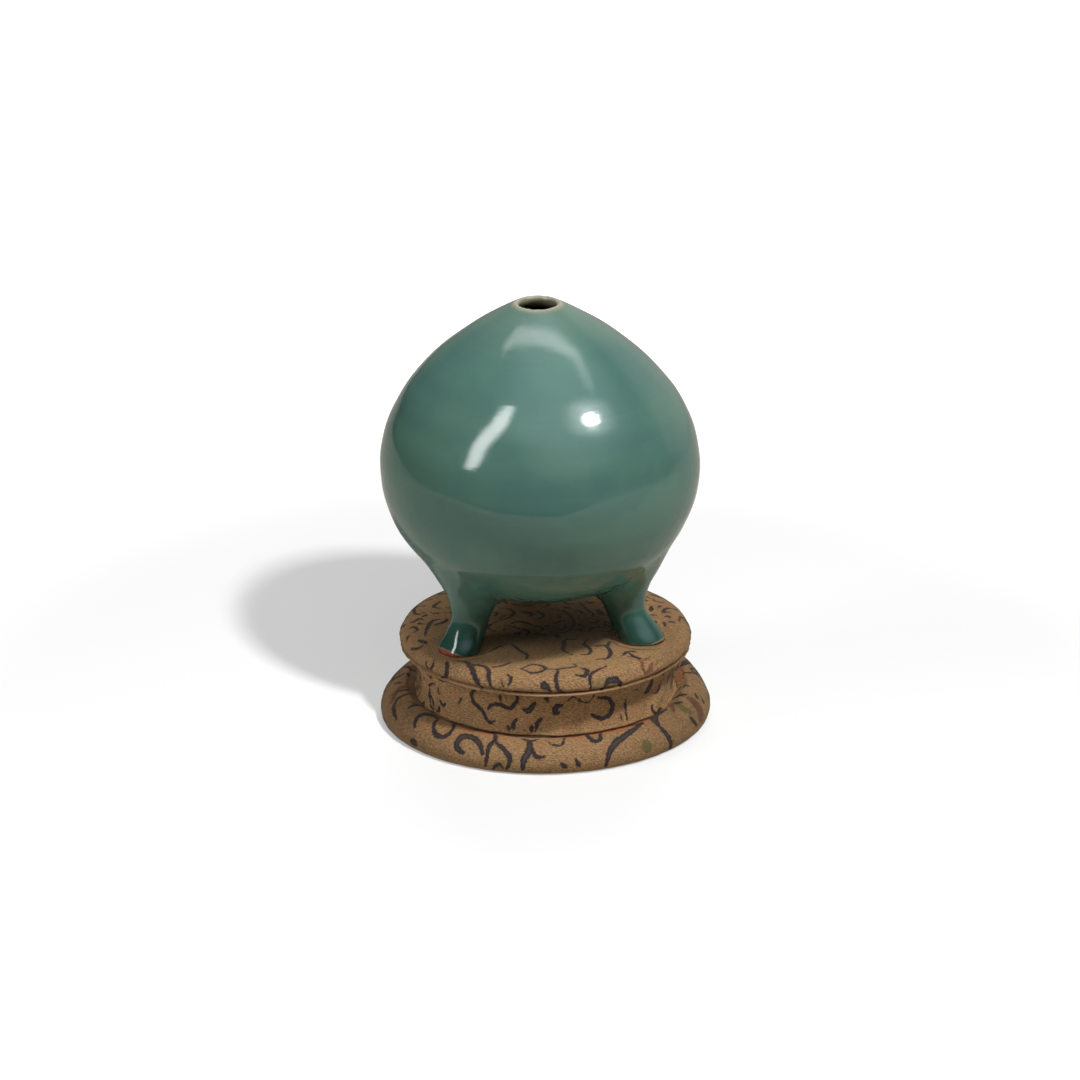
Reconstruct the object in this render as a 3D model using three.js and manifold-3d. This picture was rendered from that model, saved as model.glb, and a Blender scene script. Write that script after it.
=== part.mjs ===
// A lotus-bud water pot on three small legs, standing on a round display stand covered in brocade.
// Millimetres, +Z up. The origin is the centre of the stand's underside, and the pot is seen from -Y.

import * as THREE from "three";
import { mergeVertices } from "three/addons/utils/BufferGeometryUtils.js";
import Module from "manifold-3d";

const manifold = await Module();
manifold.setup();

// Driving dimensions of the pot, whose heights are measured from the soles of its feet
const potHeight = 85;
const bodyRadius = 39.6;
const bodyWidestHeight = 43;
const bellyHeight = 9.8;
const wallThickness = 3.2;
const lipCrestRadius = 5.4;
const lipRound = 0.8;
const neckDepth = 1.6;
const potOffset = -1.4;

// How far each end of a profile curve runs straight on before it turns
const bellyRunLength = 29;
const lowerRunLength = 14;
const upperRunLength = 19.2;
const shoulderRunLength = 18;
const shoulderSlope = THREE.MathUtils.degToRad(28.5);

// Driving dimensions of the legs, which are set evenly round the body. Each was shaped by hand, so their
// toes reach out a little differently. A leg is a stack of horizontal ovals, from the sole to the root
// inside the body. An inset is measured inwards from the body's widest radius: to the heel or the toe of
// the two lowest ovals, and to the middle of the others.
const rightLegTurn = THREE.MathUtils.degToRad(70);
const rightToeInset = 6.5;
const leftToeInset = 8.2;
const backToeInset = 7.1;
const legs = [
  { name: "right_leg", toeInset: rightToeInset },
  { name: "left_leg", toeInset: leftToeInset },
  { name: "back_leg", toeInset: backToeInset },
];
const soleHeelInset = 18.4;
const soleRounding = 0.5;
const soleHalfWidth = 5.4;
const footHeight = 1.2;
const footHeelInset = 18.7;
const footHalfWidth = 5.9;
const instepHeight = 4.4;
const instepInset = 15.2;
const instepHalfDepth = 5.6;
const instepHalfWidth = 4.7;
const ankleHeight = 8;
const ankleInset = 17.3;
const ankleHalfDepth = 5.2;
const ankleHalfWidth = 4.3;
const shinHeight = 11;
const shinInset = 17.9;
const shinHalfDepth = 6.1;
const shinHalfWidth = 4.9;
const calfHeight = 14.5;
const calfInset = 18.1;
const calfHalfDepth = 7.4;
const calfHalfWidth = 6.2;
const kneeHeight = 18.5;
const kneeInset = 18;
const kneeHalfDepth = 8.9;
const kneeHalfWidth = 7.8;
const rootHeight = 23;
const rootInset = 17.8;
const rootHalfDepth = 9.7;
const rootHalfWidth = 9;
const lutingGap = 0.3;

// Driving dimensions of the stand: a base, a waist and a top, one on the other
const baseHeight = 7.1;
const baseRadius = 41.2;
const baseWidestHeight = 3.3;
const baseShoulder = 8.5;
const baseFootRound = 1.2;
const waistHeight = 12.3;
const waistFootRadius = 33.2;
const waistMiddleRadius = 32.3;
const waistHeadRadius = 32.7;
const topHeight = 4.1;
const topRadius = 36.4;
const topEdgeRound = 2.8;
const topPadHeight = 2;
const topCreaseRound = 0.8;

// The stand's cloth, its turned-in hems, the lining and the play between a cover and what it wraps
const clothThickness = 0.7;
const hemWidth = 5;
const liningThickness = 0.3;
const liningMargin = 1.2;
const coverPlay = 0.3;

// Fineness of the round surfaces
const potSegments = 60;
const standSegments = 60;
const bodyCurveSteps = 11;
const chamberEvery = 2;
const legSegments = 18;
const legRings = 13;
const waistSteps = 4;
const fineArcStep = 15;
const plainArcStep = 30;
const smallArcStep = 45;
const cornerMatch = 1e-4;

const glazeColour = { color: 0x5b8b80, roughness: 0.12, metalness: 0 };
const brocadeColour = { color: 0xa68056, roughness: 0.8, metalness: 0 };
const waddingColour = { color: 0xe4ddca, roughness: 0.95, metalness: 0 };
const woodColour = { color: 0xb08a5c, roughness: 0.7, metalness: 0 };
const liningColour = { color: 0x6f5636, roughness: 0.9, metalness: 0 };

function namedMesh(name, geometry, look) {
  const mesh = new THREE.Mesh(geometry, new THREE.MeshStandardMaterial(look));
  mesh.name = name;
  return mesh;
}

function point(radius, height) {
  return new THREE.Vector2(radius, height);
}

// A profile drawn in radius and height, turned round the Z axis
function turned(profile, segments) {
  const geometry = new THREE.LatheGeometry(profile, segments);
  geometry.rotateX(Math.PI / 2);
  return geometry;
}

// Part of an ellipse in a profile, from one angle to another, in degrees from the outward direction
function arc(centre, halfWidth, halfHeight, fromDegrees, toDegrees, stepDegrees) {
  const steps = Math.ceil(Math.abs(toDegrees - fromDegrees) / stepDegrees);
  const points = [];
  for (let i = 0; i <= steps; i += 1) {
    const angle = THREE.MathUtils.degToRad(THREE.MathUtils.lerp(fromDegrees, toDegrees, i / steps));
    points.push(point(centre.x + halfWidth * Math.cos(angle), centre.y + halfHeight * Math.sin(angle)));
  }
  return points;
}

function solidOf(geometry) {
  const bare = geometry.clone();
  bare.deleteAttribute("normal");
  bare.deleteAttribute("uv");
  const merged = mergeVertices(bare, cornerMatch);
  const corners = merged.index.array;
  const triangles = [];
  for (let i = 0; i < corners.length; i += 3) {
    const [a, b, c] = corners.slice(i, i + 3);
    if (a !== b && b !== c && c !== a) {
      triangles.push(a, b, c);
    }
  }
  const vertProperties = new Float32Array(merged.attributes.position.array);
  return new manifold.Manifold(
    new manifold.Mesh({ numProp: 3, vertProperties, triVerts: new Uint32Array(triangles) }),
  );
}

function geometryOf(solid) {
  const mesh = solid.getMesh();
  const geometry = new THREE.BufferGeometry();
  geometry.setAttribute("position", new THREE.BufferAttribute(mesh.vertProperties, mesh.numProp));
  geometry.setIndex(new THREE.BufferAttribute(mesh.triVerts, 1));
  return geometry;
}

// The outside of the pot's body, from the middle of the belly up to the lip: a full, round belly that
// turns in through a long shoulder to a small mouth
function bodyOutline() {
  const widest = point(bodyRadius, bodyWidestHeight);
  const lipCentre = point(lipCrestRadius, potHeight - lipRound);
  const lipEdge = point(
    lipCentre.x + lipRound * Math.sin(shoulderSlope),
    lipCentre.y + lipRound * Math.cos(shoulderSlope),
  );
  const lower = new THREE.CubicBezierCurve(
    point(0, bellyHeight),
    point(bellyRunLength, bellyHeight),
    point(widest.x, widest.y - lowerRunLength),
    widest,
  );
  const upper = new THREE.CubicBezierCurve(
    widest,
    point(widest.x, widest.y + upperRunLength),
    point(
      lipEdge.x + shoulderRunLength * Math.cos(shoulderSlope),
      lipEdge.y - shoulderRunLength * Math.sin(shoulderSlope),
    ),
    lipEdge,
  );
  return [...lower.getSpacedPoints(bodyCurveSteps), ...upper.getSpacedPoints(bodyCurveSteps).slice(1)];
}

// The outline moved along its own normal: outwards where the distance is more than 0
function movedOutline(outline, distance) {
  return outline.map((here, i) => {
    if (here.x === 0) {
      return point(0, here.y - distance);
    }
    const before = outline[Math.max(i - 1, 0)];
    const after = outline[Math.min(i + 1, outline.length - 1)];
    const along = after.clone().sub(before).normalize();
    return point(here.x + distance * along.y, here.y - distance * along.x);
  });
}

function potBody() {
  const outside = bodyOutline();
  const mouthRadius = lipCrestRadius - lipRound;
  const lipCentre = point(lipCrestRadius, potHeight - lipRound);
  const slopeDegrees = THREE.MathUtils.radToDeg(shoulderSlope);
  const lip = [
    ...arc(lipCentre, lipRound, lipRound, 90 - slopeDegrees, 90, smallArcStep).slice(1),
    ...arc(lipCentre, lipRound, lipRound, 90, 180, plainArcStep).slice(1),
  ];
  const chamberReach = mouthRadius + neckDepth;
  const chamber = movedOutline(outside, -wallThickness)
    .filter((p, i) => i % chamberEvery === 0 && (p.x > chamberReach || p.y < bodyWidestHeight))
    .reverse();
  const neck = point(mouthRadius, lipCentre.y - neckDepth);
  return turned([...outside, ...lip, neck, ...chamber], potSegments);
}

// An oval between a heel and a toe
function footOval(height, heel, toe, halfWidth) {
  return { height, centre: (heel + toe) / 2, along: (toe - heel) / 2, across: halfWidth };
}

// An oval whose middle lies in from the body's side
function legOval(height, inset, halfDepth, halfWidth) {
  return { height, centre: bodyRadius - inset, along: halfDepth, across: halfWidth };
}

function legOvals(toeInset) {
  const toe = bodyRadius - toeInset;
  return [
    footOval(0, bodyRadius - soleHeelInset, toe - soleRounding, soleHalfWidth),
    footOval(footHeight, bodyRadius - footHeelInset, toe, footHalfWidth),
    legOval(instepHeight, instepInset, instepHalfDepth, instepHalfWidth),
    legOval(ankleHeight, ankleInset, ankleHalfDepth, ankleHalfWidth),
    legOval(shinHeight, shinInset, shinHalfDepth, shinHalfWidth),
    legOval(calfHeight, calfInset, calfHalfDepth, calfHalfWidth),
    legOval(kneeHeight, kneeInset, kneeHalfDepth, kneeHalfWidth),
    legOval(rootHeight, rootInset, rootHalfDepth, rootHalfWidth),
  ];
}

// One leg, reaching towards -Y: a slender ankle that spreads into a foot below and into the body above
function leg(toeInset) {
  const ovals = legOvals(toeInset);
  const valueAt = (key) => new THREE.SplineCurve(ovals.map((o) => point(o.height, o[key])));
  const centre = valueAt("centre");
  const along = valueAt("along");
  const across = valueAt("across");
  const positions = [];
  const triangles = [];
  for (let ring = 0; ring <= legRings; ring += 1) {
    const t = ring / legRings;
    const middle = centre.getPoint(t);
    for (let side = 0; side < legSegments; side += 1) {
      const angle = (2 * Math.PI * side) / legSegments;
      positions.push(across.getPoint(t).y * Math.cos(angle));
      positions.push(along.getPoint(t).y * Math.sin(angle) - middle.y);
      positions.push(THREE.MathUtils.clamp(middle.x, 0, rootHeight));
    }
  }
  for (let ring = 0; ring < legRings; ring += 1) {
    for (let side = 0; side < legSegments; side += 1) {
      const next = (side + 1) % legSegments;
      const low = ring * legSegments;
      const high = low + legSegments;
      triangles.push(low + side, low + next, high + next, low + side, high + next, high + side);
    }
  }
  const topRing = legRings * legSegments;
  for (let side = 1; side < legSegments - 1; side += 1) {
    triangles.push(0, side + 1, side);
    triangles.push(topRing, topRing + side, topRing + side + 1);
  }
  const geometry = new THREE.BufferGeometry();
  geometry.setAttribute("position", new THREE.Float32BufferAttribute(positions, 3));
  geometry.setIndex(triangles);
  return geometry;
}

// The leg, cut off where it meets the body
function lutedLeg(toeInset) {
  const grown = movedOutline(bodyOutline(), lutingGap);
  const crown = point(0, grown.at(-1).y);
  const body = solidOf(turned([...grown, crown], potSegments));
  return geometryOf(solidOf(leg(toeInset)).subtract(body));
}

function pot() {
  const group = new THREE.Group();
  group.add(namedMesh("pot_body", potBody(), glazeColour));
  legs.forEach(({ name, toeInset }, i) => {
    const mesh = namedMesh(name, lutedLeg(toeInset), glazeColour);
    mesh.rotation.z = rightLegTurn - (2 * Math.PI * i) / legs.length;
    group.add(mesh);
  });
  return group;
}

// The base: lining, board, wadding and cover. Inside the cover each piece keeps the cover's play.
function baseRounds(inset, play) {
  const shoulderCentre = point(baseRadius - baseShoulder, baseWidestHeight);
  const footCentre = point(baseRadius - baseFootRound, baseWidestHeight);
  const shoulderRise = baseHeight - baseWidestHeight - inset;
  const footDrop = baseWidestHeight - liningThickness - inset;
  return {
    shoulder: arc(shoulderCentre, baseShoulder - inset - play, shoulderRise, 90, 0, fineArcStep),
    foot: arc(footCentre, baseFootRound - inset - play, footDrop, 0, -90, plainArcStep),
  };
}

function baseLining() {
  const radius = baseRadius - baseFootRound - liningMargin;
  const profile = [point(0, 0), point(radius, 0), point(radius, liningThickness), point(0, liningThickness)];
  return turned(profile, standSegments);
}

function baseBoard() {
  const { foot } = baseRounds(clothThickness, coverPlay);
  return turned([point(0, foot.at(-1).y), ...foot.reverse(), point(0, baseWidestHeight)], standSegments);
}

function baseWadding() {
  const { shoulder } = baseRounds(clothThickness, coverPlay);
  return turned([point(0, baseWidestHeight), ...shoulder.reverse(), point(0, shoulder.at(-1).y)], standSegments);
}

function baseCover() {
  const outer = baseRounds(0, 0);
  const inner = baseRounds(clothThickness, 0);
  const hemRadius = baseRadius - baseFootRound - hemWidth;
  const profile = [
    point(0, baseHeight),
    ...outer.shoulder,
    ...outer.foot.slice(1),
    point(hemRadius, liningThickness),
    point(hemRadius, liningThickness + clothThickness),
    ...inner.foot.reverse(),
    ...inner.shoulder.reverse().slice(1),
    point(0, baseHeight - clothThickness),
  ];
  return turned(profile.reverse(), standSegments);
}

// The waist: a block with a hollowed side, and a band of cloth round it
function waistSide(inset) {
  const side = new THREE.SplineCurve([
    point(waistFootRadius - inset, baseHeight),
    point(waistMiddleRadius - inset, baseHeight + waistHeight / 2),
    point(waistHeadRadius - inset, baseHeight + waistHeight),
  ]);
  return side.getPoints(waistSteps);
}

function waistBlock() {
  const side = waistSide(clothThickness + coverPlay);
  return turned([point(0, baseHeight), ...side, point(0, baseHeight + waistHeight)], standSegments);
}

function waistCover() {
  const outside = waistSide(0);
  const inside = waistSide(clothThickness).reverse();
  return turned([...outside, ...inside, outside[0].clone()], standSegments);
}

// The top: a thin board, a pad and the cover that wraps them, with a crease along its lower edge
const topFoot = baseHeight + waistHeight;
const standHeight = topFoot + topHeight;
const topPadFoot = standHeight - topPadHeight;

function topRounds(inset, play) {
  const edgeCentre = point(topRadius - topEdgeRound, topPadFoot);
  const creaseCentre = point(topRadius - topCreaseRound, topFoot + topCreaseRound);
  return {
    edge: arc(edgeCentre, topEdgeRound - inset - play, topPadHeight - inset, 90, 0, fineArcStep),
    crease: arc(creaseCentre, topCreaseRound - inset, topCreaseRound - inset, 0, -90, smallArcStep),
  };
}

function topBoard() {
  const radius = topRadius - topCreaseRound - coverPlay;
  const foot = topFoot + clothThickness;
  const profile = [point(0, foot), point(radius, foot), point(radius, topPadFoot), point(0, topPadFoot)];
  return turned(profile, standSegments);
}

function topWadding() {
  const { edge } = topRounds(clothThickness, coverPlay);
  return turned([point(0, topPadFoot), ...edge.reverse(), point(0, edge.at(-1).y)], standSegments);
}

function topCover() {
  const outer = topRounds(0, 0);
  const inner = topRounds(clothThickness, 0);
  const hemRadius = topRadius - topCreaseRound - hemWidth;
  const profile = [
    point(0, standHeight),
    ...outer.edge,
    ...outer.crease,
    point(hemRadius, topFoot),
    point(hemRadius, topFoot + clothThickness),
    ...inner.crease.reverse(),
    ...inner.edge.reverse(),
    point(0, standHeight - clothThickness),
  ];
  return turned(profile.reverse(), standSegments);
}

function stand() {
  const group = new THREE.Group();
  group.add(namedMesh("base_lining", baseLining(), liningColour));
  group.add(namedMesh("base_board", baseBoard(), woodColour));
  group.add(namedMesh("base_wadding", baseWadding(), waddingColour));
  group.add(namedMesh("base_cover", baseCover(), brocadeColour));
  group.add(namedMesh("waist_block", waistBlock(), woodColour));
  group.add(namedMesh("waist_cover", waistCover(), brocadeColour));
  group.add(namedMesh("top_board", topBoard(), woodColour));
  group.add(namedMesh("top_wadding", topWadding(), waddingColour));
  group.add(namedMesh("top_cover", topCover(), brocadeColour));
  return group;
}

const model = new THREE.Group();
const potGroup = pot();
potGroup.position.set(potOffset, 0, standHeight);
model.add(stand());
model.add(potGroup);

export default model;
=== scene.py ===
"""The looks of a lotus-bud water pot on its brocade-covered stand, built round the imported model.

Shapes are worked out in millimetres, and MM turns them into Blender's metres. An azimuth is an angle
round the stand's axis, 0 at the front (-Y) and growing towards the viewer's right (+X).
"""

import math

import bpy
import numpy as np
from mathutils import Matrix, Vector


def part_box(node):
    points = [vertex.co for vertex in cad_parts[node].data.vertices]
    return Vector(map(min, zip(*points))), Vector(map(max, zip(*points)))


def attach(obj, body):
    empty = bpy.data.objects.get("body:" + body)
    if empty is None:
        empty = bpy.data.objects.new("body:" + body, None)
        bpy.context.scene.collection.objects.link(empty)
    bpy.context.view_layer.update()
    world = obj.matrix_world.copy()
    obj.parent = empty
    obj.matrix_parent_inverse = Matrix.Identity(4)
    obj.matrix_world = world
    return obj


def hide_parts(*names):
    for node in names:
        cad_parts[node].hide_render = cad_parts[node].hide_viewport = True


MM = 0.001
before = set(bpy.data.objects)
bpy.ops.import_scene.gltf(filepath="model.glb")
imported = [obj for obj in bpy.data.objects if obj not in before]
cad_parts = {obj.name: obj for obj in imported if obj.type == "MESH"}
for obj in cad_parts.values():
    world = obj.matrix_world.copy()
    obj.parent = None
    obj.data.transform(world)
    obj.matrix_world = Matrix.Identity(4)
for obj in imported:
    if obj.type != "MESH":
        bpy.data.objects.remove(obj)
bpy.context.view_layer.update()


def box_mm(node):
    low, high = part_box(node)
    return np.array(low) / MM, np.array(high) / MM


# The pot, from the frame: its axis, its sole plane and the heights above it
BODY_LOW, BODY_HIGH = box_mm("pot_body")
SOLE_HEIGHT = box_mm("left_leg")[0][2]
POT_AXIS = (BODY_LOW + BODY_HIGH)[:2] / 2
POT_FOOT = np.array([*POT_AXIS, SOLE_HEIGHT])
BODY_RADIUS = (BODY_HIGH - BODY_LOW)[0] / 2
POT_HEIGHT = BODY_HIGH[2] - SOLE_HEIGHT
BELLY_HEIGHT = BODY_LOW[2] - SOLE_HEIGHT

# The pot's profile, with the same driving values as the solids
BODY_WIDEST_HEIGHT = 43
WALL_THICKNESS = 3.2
LIP_CREST_RADIUS = 5.4
LIP_ROUND = 0.8
LIP_CENTRE = np.array([LIP_CREST_RADIUS, POT_HEIGHT - LIP_ROUND])
NECK_DEPTH = 1.6
BELLY_FLATNESS = 29
LOWER_FULLNESS = 14
UPPER_FULLNESS = 19.2
SHOULDER_RUN = 18
SHOULDER_SLOPE = math.radians(28.5)
PROFILE_STEPS = 900

# The tables of distances from the profile, how far they reach past the pot, and the search that fills them
TABLE_STEP = 0.125
PAST_SIDE, PAST_ENDS = 6, 3
SEARCH_STRIDE = 24
SEARCH_CHUNK = 20000

# How far the mouth leans to the left of the axis, and the height that the lean begins at
MOUTH_LEAN = 0.55
LEAN_FROM = 45

# The waves that throwing and turning leave on the outside. For each, its size, its height, its turns round
# the pot, how far it swings on its way round and where that swing begins. They fade near the lip
THROWING_WAVES = (
    (0.035, 1.35, 0, 0.9, 0.6),
    (0.05, 3.1, 0, 1.7, 0.0),
    (0.07, 17, 2, 0.0, 0.0),
)
WAVES_END = (POT_HEIGHT - 8, POT_HEIGHT - 2)

# The legs: how far each turns from the front, how far its toe reaches, how slender its ankle is, and how
# high the clay is bare at its toe
LEGS = (
    {"turn": 70, "toe": 33.1, "slender": 0.0, "bare": 0.6},
    {"turn": -50, "toe": 31.6, "slender": 0.5, "bare": 1.15},
    {"turn": -170, "toe": 32.5, "slender": 0.2, "bare": 0.9},
)
SOLE_HEEL = 21.0
FOOT_HEEL = 20.8
TOE_INSET = 0.1
TOE_LEAN = 0.7

# A leg's ovals from the sole to the root. The lowest two follow from the heel and the toe, so the centres
# and the reaches along the leg begin at the ankle
ANKLE = 2
LEG_LEVELS = (0, 1.2, 4.4, 8, 11, 14.5, 18.5, 23)
LEG_CENTRES = (24.4, 22.3, 21.7, 21.5, 21.6, 21.8)
LEG_ALONG = (5.6, 5.2, 6.0, 7.2, 8.6, 9.4)
LEG_ACROSS = (5.7, 5.5, 4.7, 4.3, 4.9, 6.0, 7.4, 8.4)
LEG_FILLET = 4.6
SOLE_ROUND = 0.7
ROOT_DEPTH = 1.5
ROOT_ROUND = 4

# The bare clay: the foot's middle and how far round it the clay may be bare, how high it is bare at the
# sole, and the run up to the toe, bent round it, in which that rises to the leg's own height. Then the mark
# of all other places, and the depths in the clay between which the mark of the inside begins
FOOT_MIDDLE = 26
FOOT_REACH = 10
SOLE_BARE = 0.1
TOE_RUN = (-5.5, -0.5)
TOE_BEND = 0.08
NOT_BARE = -9.0
INSIDE_EDGE = (-0.9, -0.2)

# The grid that finds the clay's surface, the hollow's value where there is none near, and how the points
# settle on the exact surface: the rounds, the farthest move and the least slope that a move is divided by
CLAY_CELL = 0.75
GRID_MARGIN = 3
GRID_FOOT, GRID_HEAD = -1.9, POT_HEIGHT + 2
NO_HOLLOW = -99.0
SETTLE_ROUNDS = 3
SETTLE_REACH = 0.4
LEAST_SLOPE = 0.2


def layer_size(node):
    """A round layer's radius, foot and head."""
    low, high = box_mm(node)
    return high[0], low[2], high[2]


# The stand: its round covers from the frame, and its waist with the same driving values as the solids
TOP_RADIUS, TOP_FOOT, TOP_HEAD = layer_size("top_cover")
BASE_RADIUS, BASE_FOOT, BASE_HEAD = layer_size("base_cover")
WAIST_RADIUS = 32.5
WAIST_FOOT_RADIUS = 33.1
CLOTH_THICKNESS = 0.5

# How fine the cloth is made, in millimetres and in points round, and how many times coarser on its inside
CLOTH_SPACING = 0.42
COARSER_INSIDE = 4
TOP_RING = 576
BASE_RING = 640
LEAST_RING = 12

# How many points a rounded line has for each of its corners, and one in how many of them a drawn stroke
# keeps. Then how far apart a hidden piece's points are, how far a pad keeps in from its box, and the radius
# below which a ring closes in one point
LINE_FINENESS = 60
STROKE_THINNING = 12
HIDDEN_SPACING = 0.8
PAD_INSET = 0.2
MIDDLE_RADIUS = 0.01

# How far the pad rises round the feet, and the room that a foot takes in it: past its heel and toe, across,
# and how far its dent spreads
PAD_RISE = 0.7
PRESS_PAST = 0.6
PRESS_ACROSS = 6.2
PRESS_SPREAD = 1.6

# The uneven pull round each cover: how many waves go round, the seed of their draw, and their size
TOP_PULL = ((23, 31, 47, 61), 3, 0.06)
WAIST_PULL = ((9, 14, 22, 37), 8, 0.1)
BASE_PULL = ((19, 28, 41, 56), 5, 0.09)

# Where the parts of each cover lie, as runs of its cloth from its middle. The waist's seam is an azimuth,
# and the overlap lies beside it
TOP_PAD_EDGE = (35, 37)
TOP_SIDE = (34, 38, 41, 43)
TOP_SWELL_START = (15, 34)
TOP_SWELL = 0.12
TOP_SLACK = 0.07
WAIST_SEAM = math.radians(65)
SEAM_OVERLAP = (-0.22, -0.02, 0.0, 0.012)
SEAM_RISE = 0.45
BASE_OUTSIDE = (33, 40)
BASE_GROOVE = (31, 34, 40, 44)
BASE_SHOULDER = (33.2, 35.2, 36.5, 43)


def make_object(name, points_mm, faces):
    mesh = bpy.data.meshes.new(name)
    mesh.from_pydata((np.asarray(points_mm) * MM).tolist(), [], faces)
    mesh.validate()
    mesh.polygons.foreach_set("use_smooth", [True] * len(mesh.polygons))
    made = bpy.data.objects.new(name, mesh)
    bpy.context.scene.collection.objects.link(made)
    return made


def add_values(made, name, values):
    attribute = made.data.attributes.new(name, "FLOAT", "POINT")
    attribute.data.foreach_set("value", np.asarray(values, np.float32))


# Curves in a plane

def smooth_through(levels, values, at):
    """A smooth curve through the values at those levels, read at each point of at."""
    levels = np.asarray(levels, float)
    values = np.asarray(values, float)
    slopes = np.gradient(values, levels)
    at = np.clip(at, levels[0], levels[-1])
    low = np.clip(np.searchsorted(levels, at, side="right") - 1, 0, len(levels) - 2)
    width = levels[low + 1] - levels[low]
    t = (at - levels[low]) / width
    return (
        (1 + 2 * t) * (1 - t) ** 2 * values[low]
        + t * (1 - t) ** 2 * width * slopes[low]
        + t * t * (3 - 2 * t) * values[low + 1]
        + t * t * (t - 1) * width * slopes[low + 1]
    )


def bezier(start, leave, arrive, end, steps):
    t = np.linspace(0, 1, steps + 1)[:, None]
    start, leave, arrive, end = (np.array(p, float) for p in (start, leave, arrive, end))
    return (
        (1 - t) ** 3 * start
        + 3 * t * (1 - t) ** 2 * leave
        + 3 * t * t * (1 - t) * arrive
        + t ** 3 * end
    )


def normals_along(line):
    """Unit normals on the right of a line of points: outwards, where the clay is on its left."""
    along = np.gradient(line, axis=0)
    along /= np.linalg.norm(along, axis=1)[:, None]
    return np.stack([along[:, 1], -along[:, 0]], axis=1)


def smoothstep(low, high, x):
    t = np.clip((x - low) / (high - low), 0, 1)
    return t * t * (3 - 2 * t)


def plateau(x, start, full, end, gone):
    """Rises from 0 at start to 1 at full, and falls from 1 at end to 0 where it is gone."""
    return smoothstep(start, full, x) * (1 - smoothstep(end, gone, x))


def half_turn(angle):
    """The same angle, brought to within half a turn of 0."""
    return (angle + math.pi) % (2 * math.pi) - math.pi


def polar(azimuth, radius, height):
    return np.stack([radius * np.sin(azimuth), -radius * np.cos(azimuth), height], axis=-1)


# The pot

def lip_arc(start, end, count):
    """Points on the lip's round between two angles, as radius and height above the soles."""
    angles = np.linspace(start, end, count)
    return LIP_CENTRE + LIP_ROUND * np.stack([np.cos(angles), np.sin(angles)], axis=1)


def outer_outline():
    """From the middle of the belly to the crest of the lip, as radius and height above the soles."""
    lip = lip_arc(math.pi / 2 - SHOULDER_SLOPE, math.pi / 2, count=6)
    run = SHOULDER_RUN * np.array([math.cos(SHOULDER_SLOPE), -math.sin(SHOULDER_SLOPE)])
    widest = (BODY_RADIUS, BODY_WIDEST_HEIGHT)
    lower = bezier(
        (0, BELLY_HEIGHT),
        (BELLY_FLATNESS, BELLY_HEIGHT),
        (BODY_RADIUS, BODY_WIDEST_HEIGHT - LOWER_FULLNESS),
        widest,
        PROFILE_STEPS,
    )
    upper = bezier(
        widest,
        (BODY_RADIUS, BODY_WIDEST_HEIGHT + UPPER_FULLNESS),
        lip[0] + run,
        lip[0],
        PROFILE_STEPS,
    )
    return np.concatenate([lower, upper[1:], lip[1:]])


def inner_outline():
    """From the crest of the lip down through the neck to the middle of the chamber's floor."""
    lip = lip_arc(math.pi / 2, math.pi, count=12)
    mouth_radius = LIP_CREST_RADIUS - LIP_ROUND
    outer = outer_outline()
    chamber = (outer - WALL_THICKNESS * normals_along(outer))[::-1]
    flare_radius = 2 * mouth_radius
    chamber = chamber[np.argmax(chamber[:, 0] > flare_radius):]
    chamber[-1] = (0, BELLY_HEIGHT + WALL_THICKNESS)
    neck_foot = np.array([mouth_radius, LIP_CENTRE[1] - NECK_DEPTH])
    heading = chamber[0] - chamber[1]
    heading /= np.linalg.norm(heading)
    neck = bezier(lip[-1], neck_foot, chamber[0] + 2 * heading, chamber[0], steps=16)
    return np.concatenate([lip, neck[1:], chamber[1:]])


def line_distance(line, radius, height):
    """Signed distance to a dense, smooth line with the clay on its left: less than 0 in the clay."""
    normals = normals_along(line)
    point = np.stack([radius, height], axis=1)
    distance = np.empty(len(point))
    reach = np.arange(-SEARCH_STRIDE, SEARCH_STRIDE + 1)
    for chunk in np.array_split(np.arange(len(point)), len(point) // SEARCH_CHUNK + 1):
        here = point[chunk][:, None]
        rough = ((here - line[::SEARCH_STRIDE]) ** 2).sum(2).argmin(1) * SEARCH_STRIDE
        near = np.clip(rough[:, None] + reach, 0, len(line) - 1)
        closest = ((here - line[near]) ** 2).sum(2).argmin(1)
        best = near[np.arange(len(near)), closest]
        distance[chunk] = ((point[chunk] - line[best]) * normals[best]).sum(1)
    return distance


TABLE_RADII = np.arange(0, BODY_RADIUS + PAST_SIDE, TABLE_STEP)
TABLE_HEIGHTS = np.arange(-PAST_ENDS, POT_HEIGHT + PAST_ENDS, TABLE_STEP)


def distance_table(line):
    """The signed distance to the line on a fine grid of radius and height."""
    radius, height = np.meshgrid(TABLE_RADII, TABLE_HEIGHTS, indexing="ij")
    return line_distance(line, radius.ravel(), height.ravel()).reshape(radius.shape)


def read_table(table, radius, height):
    """A table's value at each radius and height, between its grid's points."""
    across = np.clip(radius / TABLE_STEP, 0, len(TABLE_RADII) - 1.001)
    up = np.clip((height - TABLE_HEIGHTS[0]) / TABLE_STEP, 0, len(TABLE_HEIGHTS) - 1.001)
    i, j = across.astype(int), up.astype(int)
    u, v = across - i, up - j
    return (
        (1 - u) * ((1 - v) * table[i, j] + v * table[i, j + 1])
        + u * ((1 - v) * table[i + 1, j] + v * table[i + 1, j + 1])
    )


OUTER_TABLE = distance_table(outer_outline())
INNER_TABLE = distance_table(inner_outline())


def lean(height):
    """How far along X the lean moves the clay at each height."""
    return -MOUTH_LEAN * smoothstep(LEAN_FROM, POT_HEIGHT, height)


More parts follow.
